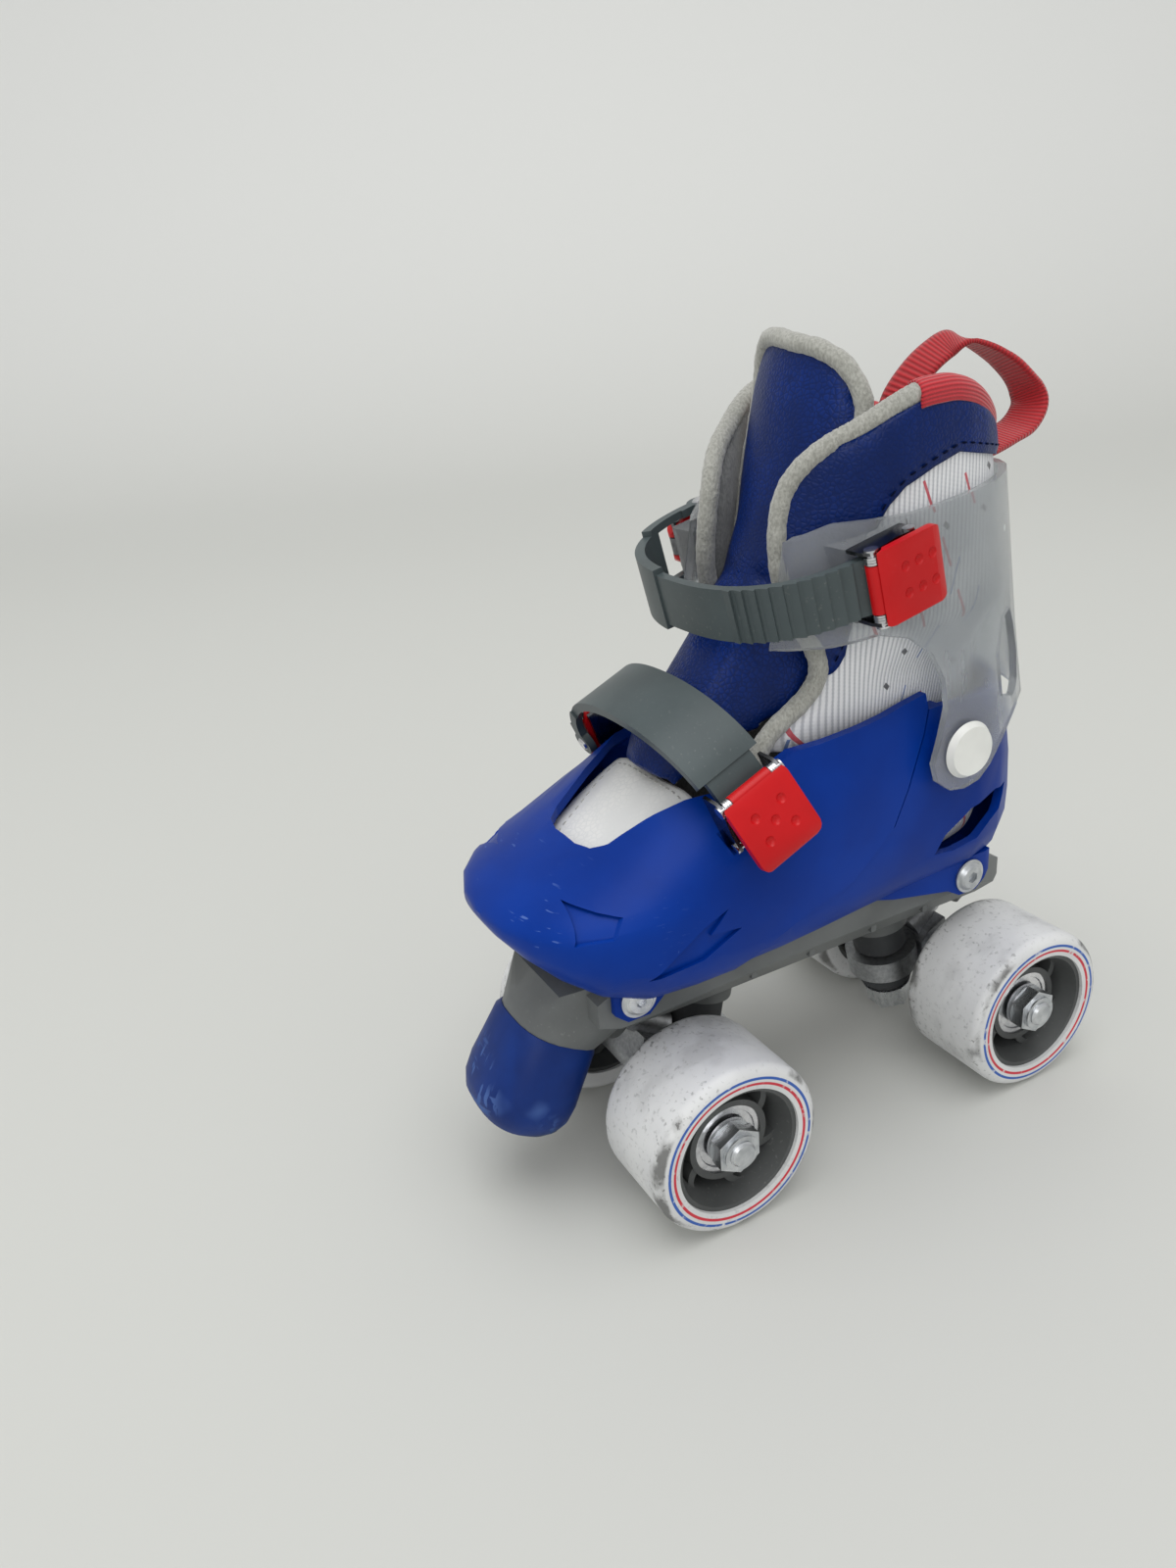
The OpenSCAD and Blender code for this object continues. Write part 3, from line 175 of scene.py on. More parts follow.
# %% A finish
class Finish:
    """One material on a Principled shader."""

    made = {}

    def __init__(self, name, sockets):
        self.material = bpy.data.materials.new(name)
        self.material.use_nodes = True
        self.tree = self.material.node_tree
        self.shader = self.tree.nodes["Principled BSDF"]
        for socket, value in sockets.items():
            self.shader.inputs[socket].default_value = value
        self.place = self.node("ShaderNodeTexCoord", {}, out="Object")
        Finish.made[name] = self

    def node(self, kind, settings, *values, out=0, **named):
        """Adds a node: its settings first, then the values or links of its sockets."""
        made = self.tree.nodes.new(kind)
        for setting, value in settings.items():
            setattr(made, setting, value)
        for key, value in [*enumerate(values), *named.items()]:
            socket = made.inputs[key if isinstance(key, int) else key.replace("_", " ")]
            if isinstance(value, Value):
                self.tree.links.new(value.socket, socket)
            elif value is not None:
                socket.default_value = value
        return Value(self, made.outputs[out])

    def noise(self, scale, detail, stretch=(1, 1, 1)):
        """Cloudy noise: patches per metre, layers of detail and how each axis is squeezed."""
        spread = self.node("ShaderNodeMapping", {}, self.place, Scale=stretch)
        return self.node("ShaderNodeTexNoise", {}, Vector=spread, Scale=scale, Detail=detail)

    def mix(self, share, low, high):
        """A colour between two colours, which are the Mix node's inputs 6 and 7."""
        other_kinds = [None] * 5
        return self.node("ShaderNodeMix", {"data_type": "RGBA"}, share, *other_kinds, low, high,
                         out=2)

    def feed(self, **links):
        """Links values to the shader's sockets."""
        for socket, value in links.items():
            self.tree.links.new(value.socket, self.shader.inputs[socket.replace("_", " ")])
        return self

    def bump(self, height, depth, strength):
        """Relief of a given depth in millimetres."""
        return self.feed(Normal=self.node("ShaderNodeBump", {}, Strength=strength,
                                          Distance=depth * MM, Height=height))


print("finishes made:", len(Finish.made))


# %% Colours
def rgb(red, green, blue):
    """A colour as the eye reads it, 0 to 255, turned into the shader's linear light."""
    def linear(c):
        return c / 12.92 if c <= 0.04045 else ((c + 0.055) / 1.055) ** 2.4
    return (linear(red / 255), linear(green / 255), linear(blue / 255), 1.0)


print("a grey of 128 is", round(rgb(128, 128, 128)[0], 3), "in linear light")

# %% [markdown]
# ## Blue shells and toe stop
# Heel cup and toe shell are injection-moulded in one blue, faintly cloudy and with a fine grain.
# Where the nose drags over the ground they carry pale scratches. Scratches could be modelled or
# drawn on a map. Noise that is stretched far along one axis and cut off at a high level gives as
# many as are wanted and needs no map, so that way was taken. A ramp on the object's own Y fades
# them in towards the nose. The rubber stop has the same marks, coarser, and gets darker towards
# its lowest point.

# %% Blue shell
BLUE = rgb(2, 54, 150)
BLUE_DEEP = rgb(1, 45, 132)
BLUE_RUBBED = rgb(98, 128, 196)
# the levels that most of a noise lies between, and those where a patch starts to be scratched
NOISE_SPAN, SCRATCHED = (0.3, 0.7), (0.48, 0.62)
SCRATCH_EDGE = 0.06
# where the marks of dragging start and where they are full
NOSE_Y, NOSE_Z = (-45 * MM, -92 * MM), (122 * MM, 90 * MM)


def scratches(finish, level, stretch, scale):
    """Thin streaks in patches: 1 on a scratch and 0 beside it."""
    streak = finish.noise(scale=scale, detail=2.0, stretch=stretch)
    patch = finish.noise(scale=45.0, detail=2.0)
    return streak.ramp(level, level + SCRATCH_EDGE) * patch.ramp(*SCRATCHED)


def moulded_blue():
    finish = Finish("shell_blue", {"IOR": 1.46, "Specular IOR Level": 0.14})
    _, y, z = finish.place.split()
    cloud = finish.noise(scale=28.0, detail=4.0)
    dragged = scratches(finish, level=0.65, stretch=(0.1, 0.25, 1.2), scale=1100.0)
    worn = dragged * y.ramp(*NOSE_Y) * z.ramp(*NOSE_Z)
    lines = scratches(finish, level=0.72, stretch=(0.05, 0.7, 0.5), scale=700.0) * 0.35
    rubbed = worn.math("MAXIMUM", lines)
    colour = finish.mix(cloud.ramp(*NOISE_SPAN), BLUE_DEEP, BLUE)
    finish.feed(Base_Color=finish.mix(rubbed * 0.8, colour, BLUE_RUBBED),
                Roughness=0.3 + 0.14 * cloud + 0.2 * rubbed)
    grain = finish.noise(scale=2600.0, detail=2.0)
    return finish.bump(grain * 0.5 - rubbed * 0.8, depth=0.05, strength=0.6)


shell_blue = moulded_blue()
print("shell finish:", len(shell_blue.tree.nodes), "nodes")

# %% Toe stop
# height over its lowest point where the stop starts to darken, and where it is darkest all round
DARK_FOOT_FROM, FOOT_FULL = 9, 2


def stop_rubber():
    finish = Finish("stop_rubber", {"IOR": 1.5, "Specular IOR Level": 0.25})
    _, _, z = finish.place.split()
    cloud = finish.noise(scale=60.0, detail=4.0)
    lengthwise = scratches(finish, level=0.5, stretch=(0.6, 0.12, 0.2), scale=620.0)
    crosswise = scratches(finish, level=0.52, stretch=(0.1, 0.5, 0.6), scale=500.0)
    streaks = lengthwise.math("MAXIMUM", crosswise)
    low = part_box("toe_stop")[0]
    # the stop's colour gets darker towards its lowest point
    ground = z.ramp(low.z + DARK_FOOT_FROM * MM, low.z + FOOT_FULL * MM)
    colour = finish.mix(cloud.ramp(0.3, 0.75), rgb(3, 38, 104), rgb(8, 50, 126))
    colour = finish.mix(streaks * 0.6, colour, rgb(88, 120, 184))
    finish.feed(Base_Color=finish.mix(ground * (0.55 + 0.4 * cloud), colour, rgb(20, 40, 58)),
                Roughness=0.42 + 0.25 * streaks + 0.1 * cloud)
    return finish.bump(cloud * 0.6 - streaks, depth=0.12, strength=0.5)


rubber_blue = stop_rubber()
print("stop finish:", len(rubber_blue.tree.nodes), "nodes")

# %% [markdown]
# ## Plain coloured mouldings
# Straps, flaps, hubs and the base frame are moulded in one colour each. They could each have a
# graph of their own, but they differ only in colour, gloss and how coarse their grain is, so one
# function makes them all. Dust is a second, finer noise that pales the colour in patches.

# %% Plastics
DUST = rgb(200, 200, 196)
DUST_GREY = rgb(150, 150, 146)


def moulding(name, light, dark, rough, grain, depth, dust=0.15, dust_colour=DUST):
    """A moulded plastic between two shades, with grain and some dust."""
    finish = Finish(name, {"IOR": 1.48, "Specular IOR Level": 0.3})
    cloud = finish.noise(scale=35.0, detail=5.0)
    dusty = finish.noise(scale=30.0, detail=2.0).ramp(0.45, 0.65)
    speck = finish.noise(scale=900.0, detail=2.0).ramp(0.62, 0.78) * dusty
    colour = finish.mix(cloud.ramp(*NOISE_SPAN), dark, light)
    colour = finish.mix(speck * dust, colour, dust_colour)
    finish.feed(Base_Color=colour, Roughness=rough + 0.12 * cloud + 0.2 * speck)
    return finish.bump(finish.noise(scale=grain, detail=2.0), depth=depth, strength=0.5)


base_grey = moulding("base_grey", rgb(112, 115, 115), rgb(94, 97, 97),
                     rough=0.32, grain=1500.0, depth=0.04)
strap_grey = moulding("strap_grey", rgb(78, 88, 90), rgb(66, 75, 77),
                      rough=0.34, grain=1300.0, depth=0.03)
flap_red = moulding("flap_red", rgb(206, 18, 24), rgb(190, 12, 18),
                    rough=0.28, grain=1600.0, depth=0.015, dust=0.05)
hub_grey = moulding("hub_grey", rgb(88, 90, 90), rgb(72, 74, 74),
                    rough=0.36, grain=1500.0, depth=0.03)
cap_white = moulding("cap_white", rgb(240, 240, 235), rgb(228, 229, 224),
                     rough=0.26, grain=900.0, depth=0.02, dust=0.3, dust_colour=DUST_GREY)
cushion_rubber = moulding("cushion_rubber", rgb(70, 72, 74), rgb(50, 52, 54),
                          rough=0.6, grain=700.0, depth=0.06)
print("plastics so far:", len(Finish.made))

# %% [markdown]
# ## Metal
# Axles, nuts and kingpins are zinc plated, the bearings are polished steel and the buckle frames
# are blackened, with brighter streaks. The Anisotropic socket could draw turned lines, but only
# as a change of the gleam. Noise that is squeezed along one axis gives lines that also show in
# the colour and the relief, and the roughness follows them.


# %% Metals
def metal(name, light, dark, rough, stretch=(1, 1, 1), scale=400.0):
    """A metal between two shades, with marks along one direction."""
    finish = Finish(name, {"Metallic": 1.0})
    marks = finish.noise(scale=scale, detail=4.0, stretch=stretch)
    stain = finish.noise(scale=50.0, detail=3.0).ramp(0.35, 0.7)
    shade = marks.ramp(*NOISE_SPAN) * 0.5 + stain * 0.5
    finish.feed(Base_Color=finish.mix(shade, light, dark),
                Roughness=rough + 0.16 * marks + 0.1 * stain)
    return finish.bump(marks, depth=0.02, strength=0.4)


zinc = metal("zinc", rgb(226, 228, 230), rgb(170, 174, 178),
             rough=0.18, stretch=(6, 1, 1), scale=300.0)
polished = metal("polished_steel", rgb(232, 232, 234), rgb(186, 187, 190), rough=0.12)
cast_metal = metal("cast_metal", rgb(196, 198, 200), rgb(150, 152, 156), rough=0.3, scale=900.0)
black_metal = metal("black_metal", rgb(120, 121, 124), rgb(62, 63, 66),
                    rough=0.10, stretch=(1, 4, 1), scale=350.0)
print("plastics and metals:", len(Finish.made))

# %% [markdown]
# ## Wheels
# The tyres are cast white and pick up dirt: grey smears on the tread, darker along its edges.
# Two thin rings, one blue and one red, are printed on the outer face. They could be thin meshes
# laid on the tyre, but ink has no height, so the finish draws them. With the axle's place taken
# off the object's coordinates, the distance from the axle gives a ring, and it also tells the
# tread from the face.

# %% Rings round an axle
INK_BLUE, INK_RED = rgb(42, 92, 178), rgb(205, 40, 60)


def from_axle(finish, node):
    """The place along a node's axle and the distance from that axle."""
    low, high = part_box(node)
    middle = (low + high) / 2
    x, y, z = finish.place.split()
    y, z = y - middle.y, z - middle.z
    return x, (y * y + z * z).math("SQRT")


def ring(radius, at, half, soft):
    """1 on a thin printed ring, all in millimetres."""
    return (radius - at * MM).abs().ramp((half + soft) * MM, (half - soft) * MM)


print("inks:", [round(c, 2) for c in INK_BLUE[:3]], [round(c, 2) for c in INK_RED[:3]])

# %% Tyre finish
TYRE_RINGS = ((23.55, INK_BLUE), (21.8, INK_RED))
RING_HALF, RING_SOFT = 0.42, 0.1
FACE_IN, FACE_SOFT = 2.2, 0.2
TREAD_R = (24.6 * MM, 25.6 * MM)
MOST_DIRT = 0.85


def tyre_white(tyre):
    low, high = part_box(tyre)
    centre, half_wide = abs((low.x + high.x) / 2), (high.x - low.x) / 2
    face = max(abs(low.x), abs(high.x)) - FACE_IN * MM
    finish = Finish("white_" + tyre, {"IOR": 1.5})
    x, radius = from_axle(finish, tyre)
    outside = x.abs().ramp(face - FACE_SOFT * MM, face)
    tread = radius.ramp(*TREAD_R)
    rim = (x.abs() - centre).abs().ramp(half_wide * 0.55, half_wide * 0.98)
    smear = finish.noise(scale=90.0, detail=6.0, stretch=(1, 0.6, 0.6))
    speck = finish.noise(scale=700.0, detail=3.0).ramp(0.56, 0.72)
    broad = finish.noise(scale=22.0, detail=2.0).ramp(0.35, 0.65)
    smears = smear.ramp(0.5, 0.68) * (0.25 + 1.2 * rim) * 0.85
    dirt = tread * (smears + speck * broad * (0.35 + 0.65 * rim))
    face_dirt = (1 - tread) * speck * broad * 0.25
    shade = finish.noise(scale=40.0, detail=3.0).ramp(*NOISE_SPAN)
    white = finish.mix(shade, rgb(226, 227, 227), rgb(212, 213, 214))
    colour = finish.mix((dirt + face_dirt).math("MINIMUM", MOST_DIRT), white, rgb(92, 92, 90))
    for at, ink in TYRE_RINGS:
        worn = finish.noise(scale=350.0, detail=2.0).ramp(0.25, 0.42)
        colour = finish.mix(ring(radius, at, RING_HALF, RING_SOFT) * outside * worn, colour, ink)
    finish.feed(Base_Color=colour, Roughness=0.42 + 0.3 * dirt + 0.1 * smear)
    return finish.bump(smear * 0.6 - speck * tread * 0.7, depth=0.16, strength=0.5)


tyres = {name: tyre_white(name) for name in sorted(nodes) if name.startswith("tyre_")}
print("tyres:", sorted(tyres))

# %% [markdown]
# ## The clear cuff
# The cuff is moulded in a milky clear plastic that lets the boot show through as a soft blur. It
# could be made see-through by its alpha, but then the boot would stay sharp behind it. Part
# transmission with a rough surface is closer to the plastic: the rough refraction blurs what is
# behind, and the share that isn't transmitted gives the grey, milky cast.


# %% Cuff finish
def clear_cuff():
    finish = Finish("cuff_clear", {"IOR": 1.2, "Transmission Weight": 0.8, "Coat Weight": 0.3,
                                   "Coat Roughness": 0.18})
    cloud = finish.noise(scale=30.0, detail=4.0)
    marks = scratches(finish, level=0.68, stretch=(0.3, 0.5, 0.08), scale=650.0)
    colour = finish.mix(cloud.ramp(*NOISE_SPAN), rgb(226, 229, 231), rgb(212, 216, 219))
    finish.feed(Base_Color=finish.mix(marks * 0.5, colour, rgb(240, 242, 243)),
                Roughness=0.2 + 0.1 * cloud + 0.25 * marks)
    return finish.bump(cloud * 0.5 + marks * 0.3, depth=0.12, strength=0.4)


cuff_clear = clear_cuff()
print("cuff finish:", len(cuff_clear.tree.nodes), "nodes")

# %% [markdown]
# ## Rivet caps
# The caps on the ankle pivots are white plastic. On the lever side a thin red and a thin blue
# ring are printed near the edge. They are drawn like the rings of the wheels, from the distance
# to the pivot, because the same helper then serves both.

# %% Rivet finish
CAP_RINGS = ((7.2, INK_RED), (6.4, INK_BLUE))
CAP_RING_HALF, CAP_RING_SOFT = 0.325, 0.075


def cap_finish():
    finish = Finish("rivet_cap", {"IOR": 1.48})
    x, radius = from_axle(finish, "ankle_rivets")
    lever_side = x < 0
    scuff = scratches(finish, level=0.66, stretch=(0.4, 0.3, 0.4), scale=800.0)
    shade = finish.noise(scale=60.0, detail=3.0).ramp(*NOISE_SPAN)
    colour = finish.mix(shade, rgb(240, 241, 237), rgb(228, 229, 225))
    colour = finish.mix(scuff * 0.3, colour, rgb(176, 178, 176))
    for at, ink in CAP_RINGS:
        band = ring(radius, at, CAP_RING_HALF, CAP_RING_SOFT) * lever_side
        colour = finish.mix(band, colour, ink)
    finish.feed(Base_Color=colour, Roughness=0.28 + 0.2 * scuff)
    return finish.bump(finish.noise(scale=700.0, detail=2.0), depth=0.02, strength=0.4)


rivet_cap = cap_finish()

# %% [markdown]
# ## Finishes on the solids
# Each solid gets its finish by its name; where two starts of a name fit, the longer one counts.
# The solids arrive as loose triangles. They could be merged and given sharp edges by hand, but
# their meshes stay as they are, so a Weld modifier joins the triangles and an Edge Split keeps
# the edges crisp under smooth shading.

# %% Finish by name
WEARS = [
    (hub_grey, "hub_"),
    (polished, "bearings_ cuff_strap_pins toe_strap_pins cuff_buckle_pins toe_buckle_pins "
               "cuff_flap_springs toe_flap_springs"),
    (cast_metal, "front_truck rear_truck"),
    (cushion_rubber, "front_cushions rear_cushions pivot_cups"),
    (base_grey, "chassis"),
    (shell_blue, "base_shell toe_shell"),
    (rubber_blue, "toe_stop"),
    (zinc, "toe_stop_bolt"),
    (flap_red, "size_button cuff_flap toe_flap cuff_lever toe_lever"),
    (strap_grey, "cuff_strap toe_strap"),
    (black_metal, "cuff_buckle toe_buckle cuff_lever_base toe_lever_base"),
    (cap_white, "cuff_inlay toe_inlay"),
    (cuff_clear, "cuff"),
    (rivet_cap, "ankle_rivets"),
]
BY_START = {start: finish for finish, starts in WEARS for start in starts.split()}


def finish_for(name):
    """A tyre's own finish or the one that fits the name; small hardware is zinc plated."""
    if name in tyres:
        return tyres[name]
    fits = [start for start in BY_START if name.startswith(start)]
    return BY_START[max(fits, key=len)] if fits else zinc


print("chassis wears", finish_for("chassis").material.name)

# %% Dress the solids
SOFT = {"liner", "tongue", "toe_patch", "footbed", "pull_loop"}
SMOOTH_ANGLE = math.radians(32)
WELD = 0.002


def dress(name):
    solid = nodes[name]
    mesh = solid.data
    if "custom_normal" in mesh.attributes:
        mesh.attributes.remove(mesh.attributes["custom_normal"])
    mesh.shade_smooth()
    mesh.materials.clear()
    mesh.materials.append(finish_for(name).material)
    solid.modifiers.new("weld", "WELD").merge_threshold = WELD * MM
    solid.modifiers.new("edges", "EDGE_SPLIT").split_angle = SMOOTH_ANGLE


for name in nodes:
    if name not in SOFT:
        dress(name)
print("dressed", len(nodes) - len(SOFT), "solids")

# %% [markdown]
# ## Ribbed mesh
# The outside of the boot is a silvery knitted mesh whose ribs run up the leg. Rows of thread
# could be modelled, but a rib is under two millimetres wide, so the finish draws them. The
# angle round the leg's axis counts the ribs, so they stay upright on a round leg. A few short
# slanted bars in red, blue and dark grey are printed on the mesh: each row of bars is a stripe
# pattern cut into dashes, and a random number per dash drops most of them.

# %% Ribbed mesh
LEG_Y = 33
LEG_R = 36
RIB = 1.55
ROW = 1.1
ROW_SHIFT = 2.4
TAU = 2 * math.pi
BAR_SHARE, BAR_SHIFT, BAR_INK = 0.55, 0.37, 0.9
BARS = [(rgb(196, 40, 62), dict(lean=24, period=14, long=17, wide=0.9, keep=0.4)),
        (rgb(64, 104, 168), dict(lean=-16, period=11, long=19, wide=0.6, keep=0.4)),
        (rgb(52, 54, 60), dict(lean=52, period=11, long=4.5, wide=1.5, keep=0.14))]


def bars(finish, around, height, lean, period, long, wide, keep):
    """Short slanted bars of a printed mesh, in millimetres."""
    c, s = math.cos(math.radians(lean)), math.sin(math.radians(lean))
    across = (around * c + height * s) / period
    along = (height * c - around * s) / long + across.floor() * BAR_SHIFT
    cell = finish.node("ShaderNodeCombineXYZ", {}, across.floor(), along.floor(), lean)
    pick = finish.node("ShaderNodeTexWhiteNoise", {"noise_dimensions": "3D"}, cell) < keep
    line = (across.fract() - 0.5).abs() < wide / period / 2
    return pick * line * (along.fract() < BAR_SHARE)


def ribbed_mesh():
    finish = Finish("ribbed_mesh", {"Sheen Weight": 0.25, "Specular IOR Level": 0.6})
    x, y, z = finish.place.split()
    around = (y - LEG_Y * MM).math("ARCTAN2", x) * LEG_R
    height = z / MM
    ribs = around / RIB
    rib = (ribs * TAU).sin() * 0.5 + 0.5
    row = (height * (TAU / ROW) + ribs.floor() * ROW_SHIFT).sin() * 0.5 + 0.5
    knit = rib * (0.65 + 0.35 * row)
    cloud = finish.noise(scale=60.0, detail=3.0)
    # painted shade: the grooves between the ribs and rows are darker
    colour = finish.mix(knit.ramp(0.02, 0.5), rgb(192, 194, 200), rgb(240, 241, 244))
    colour = finish.mix(cloud.ramp(0.4, 0.8) * 0.15, colour, rgb(170, 172, 180))
    for ink, layout in BARS:
        colour = finish.mix(bars(finish, around, height, **layout) * BAR_INK, colour, ink)
    finish.feed(Base_Color=colour, Roughness=0.62 - 0.2 * knit)
    return finish.bump(knit, depth=0.25, strength=0.6)


mesh_white = ribbed_mesh()
print("ribs round the leg:", round(TAU * LEG_R / RIB))

# %% [markdown]
# ## Vinyl, velour, fleece and bands
# The collar and the tongue are coated cloth with a leather grain: the cells of a Voronoi pattern,
# whose borders are the creases. Lining and piping are napped, so they get a high sheen over a
# fine nap. Binding and webbing are woven with ribs that follow the band round every bend. Those
# could not come from the place in space, so they read the band's own map, in millimetres.


# %% Vinyl
def vinyl(name, light, dark, rough, grain, depth):
    """Coated cloth with a leather grain, with painted shade in its creases."""
    finish = Finish(name, {"IOR": 1.5, "Specular IOR Level": 0.2})
    cells = finish.node("ShaderNodeTexVoronoi", {"feature": "DISTANCE_TO_EDGE"},
                        Vector=finish.place, Scale=grain)
    crease = finish.noise(scale=70.0, detail=4.0, stretch=(1, 1, 0.5))
    # painted shade: darker where the wrinkles dip and along the cell borders, the creases
    colour = finish.mix(crease.ramp(0.3, 0.75), dark, light)
    finish.feed(Base_Color=finish.mix(cells.ramp(0.0, 0.16), dark, colour),
                Roughness=rough + 0.14 * crease)
    return finish.bump(cells.ramp(0.0, 0.3) + crease * 1.2, depth=depth, strength=0.55)


blue_vinyl = vinyl("blue_vinyl", rgb(4, 42, 118), rgb(1, 29, 86),
                   rough=0.3, grain=700.0, depth=0.14)
white_vinyl = vinyl("white_vinyl", rgb(236, 236, 234), rgb(226, 227, 226),
                    rough=0.4, grain=500.0, depth=0.04)
print("vinyl finish:", len(blue_vinyl.tree.nodes), "nodes")


# %% Napped cloth and thread
def pile(name, light, dark, depth, scale, sheen=0.5):
    """Napped cloth, matt and soft; thread is the same without the sheen."""
    finish = Finish(name, {"Roughness": 0.95, "Sheen Weight": sheen, "Sheen Roughness": 0.5,
                           "Specular IOR Level": 0.1})
    nap = finish.noise(scale=scale, detail=5.0, stretch=(1, 1, 0.6))
    tuft = finish.noise(scale=scale / 6, detail=3.0)
    shade = nap.ramp(0.32, 0.68) * 0.7 + tuft * 0.3
    finish.feed(Base_Color=finish.mix(shade, dark, light))
    return finish.bump(nap + tuft, depth=depth, strength=0.9)


grey_velour = pile("grey_velour", rgb(140, 141, 139), rgb(104, 105, 104),
                   depth=0.25, scale=1500.0)
grey_fleece = pile("grey_fleece", rgb(184, 184, 177), rgb(146, 146, 139),
                   depth=0.5, scale=1500.0)
thread_pale = pile("thread_pale", rgb(196, 196, 192), rgb(158, 158, 154),
                   depth=0.1, scale=2500.0, sheen=0.0)
thread_blue = pile("thread_blue", rgb(6, 18, 52), rgb(3, 10, 34),
                   depth=0.1, scale=2500.0, sheen=0.0)
print("napped finish:", len(grey_velour.tree.nodes), "nodes")


# %% Woven bands
def ribbed_band(name, light, dark, pitch, turned=False):
    """Woven band whose ribs run along it, or across it when turned, with painted shade in its
    grooves.
    """
    finish = Finish(name, {"Sheen Weight": 0.3, "Roughness": 0.7})
    along, across, _ = finish.node("ShaderNodeUVMap", {"uv_map": "cloth"}).split()
    rib = ((along if turned else across) * (TAU / pitch)).sin() * 0.5 + 0.5
    thread = finish.noise(scale=1800.0, detail=2.0)
    # painted shade: the grooves between the ribs are darker
    finish.feed(Base_Color=finish.mix(rib * 0.75 + thread * 0.25, dark, light))
    return finish.bump(rib + thread * 0.4, depth=0.3, strength=0.8)


red_binding = ribbed_band("red_binding", rgb(210, 26, 44), rgb(156, 12, 28), pitch=1.3)
red_webbing = ribbed_band("red_webbing", rgb(196, 16, 32), rgb(146, 8, 20), pitch=1.1,
                          turned=True)
print("finishes so far:", len(Finish.made))

# %% [markdown]
# ## The boot
# Inside the shells sits a padded boot: foam between the ribbed mesh and a velour lining, sewn so
# that no edge is sharp. It could be sculpted, or lofted from sections, but its solid already has
# the right walls. So a copy of the solid is remeshed in small cells and smoothed until its edges
# are round.

# %% Meshes and their finishes
DOUBLE = 1e-6


def cover(obj, *finishes):
    """Gives an object its finishes, in the order of its faces' numbers."""
    for finish in finishes:
        obj.data.materials.append(finish.material)


def add(name, bm, *finishes):
    """Makes a bmesh an object with smooth shading."""
    mesh = bpy.data.meshes.new(name)
    bm.to_mesh(mesh)
    bm.free()
    mesh.shade_smooth()
    obj = put(name, mesh)
    cover(obj, *finishes)
    return obj


def settle(obj):
    """Applies an object's modifiers to its mesh."""
    graph = bpy.context.evaluated_depsgraph_get()
    mesh = bpy.data.meshes.new_from_object(obj.evaluated_get(graph))
    obj.modifiers.clear()
    obj.data = mesh
    mesh.shade_smooth()


print("points closer than", DOUBLE, "m are merged")


# %% Boot
def soft_copy(name, node, cell, rounds):
    """A copy of a solid, remeshed in cells of some millimetres and smoothed in rounds."""
    bm = bmesh.new()
    bm.from_mesh(nodes[node].data)
    bmesh.ops.remove_doubles(bm, verts=bm.verts, dist=DOUBLE)
    obj = add(name, bm)
    cells = obj.modifiers.new("cells", "REMESH")
    cells.mode = "VOXEL"
    cells.voxel_size = cell * MM
    relax = obj.modifiers.new("relax", "SMOOTH")
    relax.factor = 0.5
    relax.iterations = rounds
    settle(obj)
    return obj


boot = soft_copy("boot", "liner", cell=1.7, rounds=8)
print("boot:", len(boot.data.polygons), "faces")

# %% [markdown]
# ## Front edges of the boot
# The boot's two front edges lean in over the tongue and sweep back below the strap. Cutting the
# wall along that line would leave a raw edge, so the wall is pulled there instead. A ray finds
# where the solid's edge was at each height, and the points near it move by what is missing; the
# pull fades out towards the heel, the middle and the foot.


# %% Tables, easing and rays
def table(rows, at):
    """Reads a table of rising keys, with straight lines between its rows."""
    for (a, low), (b, high) in zip(rows, rows[1:]):
        if at <= b:
            return low + (high - low) * max(0.0, (at - a) / (b - a))
    return rows[-1][1]


def ease(at, start, full):
    """0 up to start and 1 from full on, with an easy curve between."""
    t = max(0.0, min(1.0, (at - start) / (full - start)))
    return t * t * (3 - 2 * t)


def tree_of(obj):
    """What rays are cast at."""
    mesh = obj.data
    return BVHTree.FromPolygons([v.co for v in mesh.vertices],
                                [p.vertices for p in mesh.polygons])


print("a quarter of the way eases to", ease(0.25, 0, 1))

# %% Front edges
# height, half width and y of the line that the piping takes
FRONT_EDGE = [(126, 24.0, -19), (133, 23.8, -17), (137, 23.6, -10), (140, 23.5, -2),
              (145, 23.5, 4), (150, 23.4, 5.5), (156, 22.6, 3.5), (163, 21, -1), (171, 18.8, -4.5),
              (180, 17, -5), (190, 16, -3.8), (197, 16.5, -2.6), (202, 18.5, 0), (206, 21.5, 3.2)]
EDGE_X = [(z, x) for z, x, y in FRONT_EDGE]
EDGE_Y = [(z, y) for z, x, y in FRONT_EDGE]
EDGE_STEP = 2
SLOT_HALF = 24.2
BEFORE_TOE = -150
# where the pull starts and where it is full
PULL_X, PULL_Y, PULL_Z = (8, 16), (26, 0), (126, 132)


def pulled(p, was_y):
    """A boot point moved so that its front edge meets the piping's line."""
    x, y, z = p / MM
    side = 1 if x > 0 else -1
    share = ease(y, *PULL_Y) * ease(z, *PULL_Z) * ease(abs(x), *PULL_X)
    return mm(x + side * (table(EDGE_X, z) - SLOT_HALF) * share,
              y + (table(EDGE_Y, z) - was_y) * share, z)


solid_tree = tree_of(nodes["liner"])
edge_was = []
for z in range(EDGE_X[0][0], EDGE_X[-1][0] + EDGE_STEP, EDGE_STEP):
    hit = solid_tree.ray_cast(mm(SLOT_HALF, BEFORE_TOE, z), Vector((0, 1, 0)))[0]
    if hit is not None:
        edge_was.append((z, hit.y / MM))
for vert in boot.data.vertices:
    vert.co = pulled(vert.co, table(edge_was, vert.co.z / MM))
print("front edge was at", [(z, round(y, 1)) for z, y in edge_was[::6]])

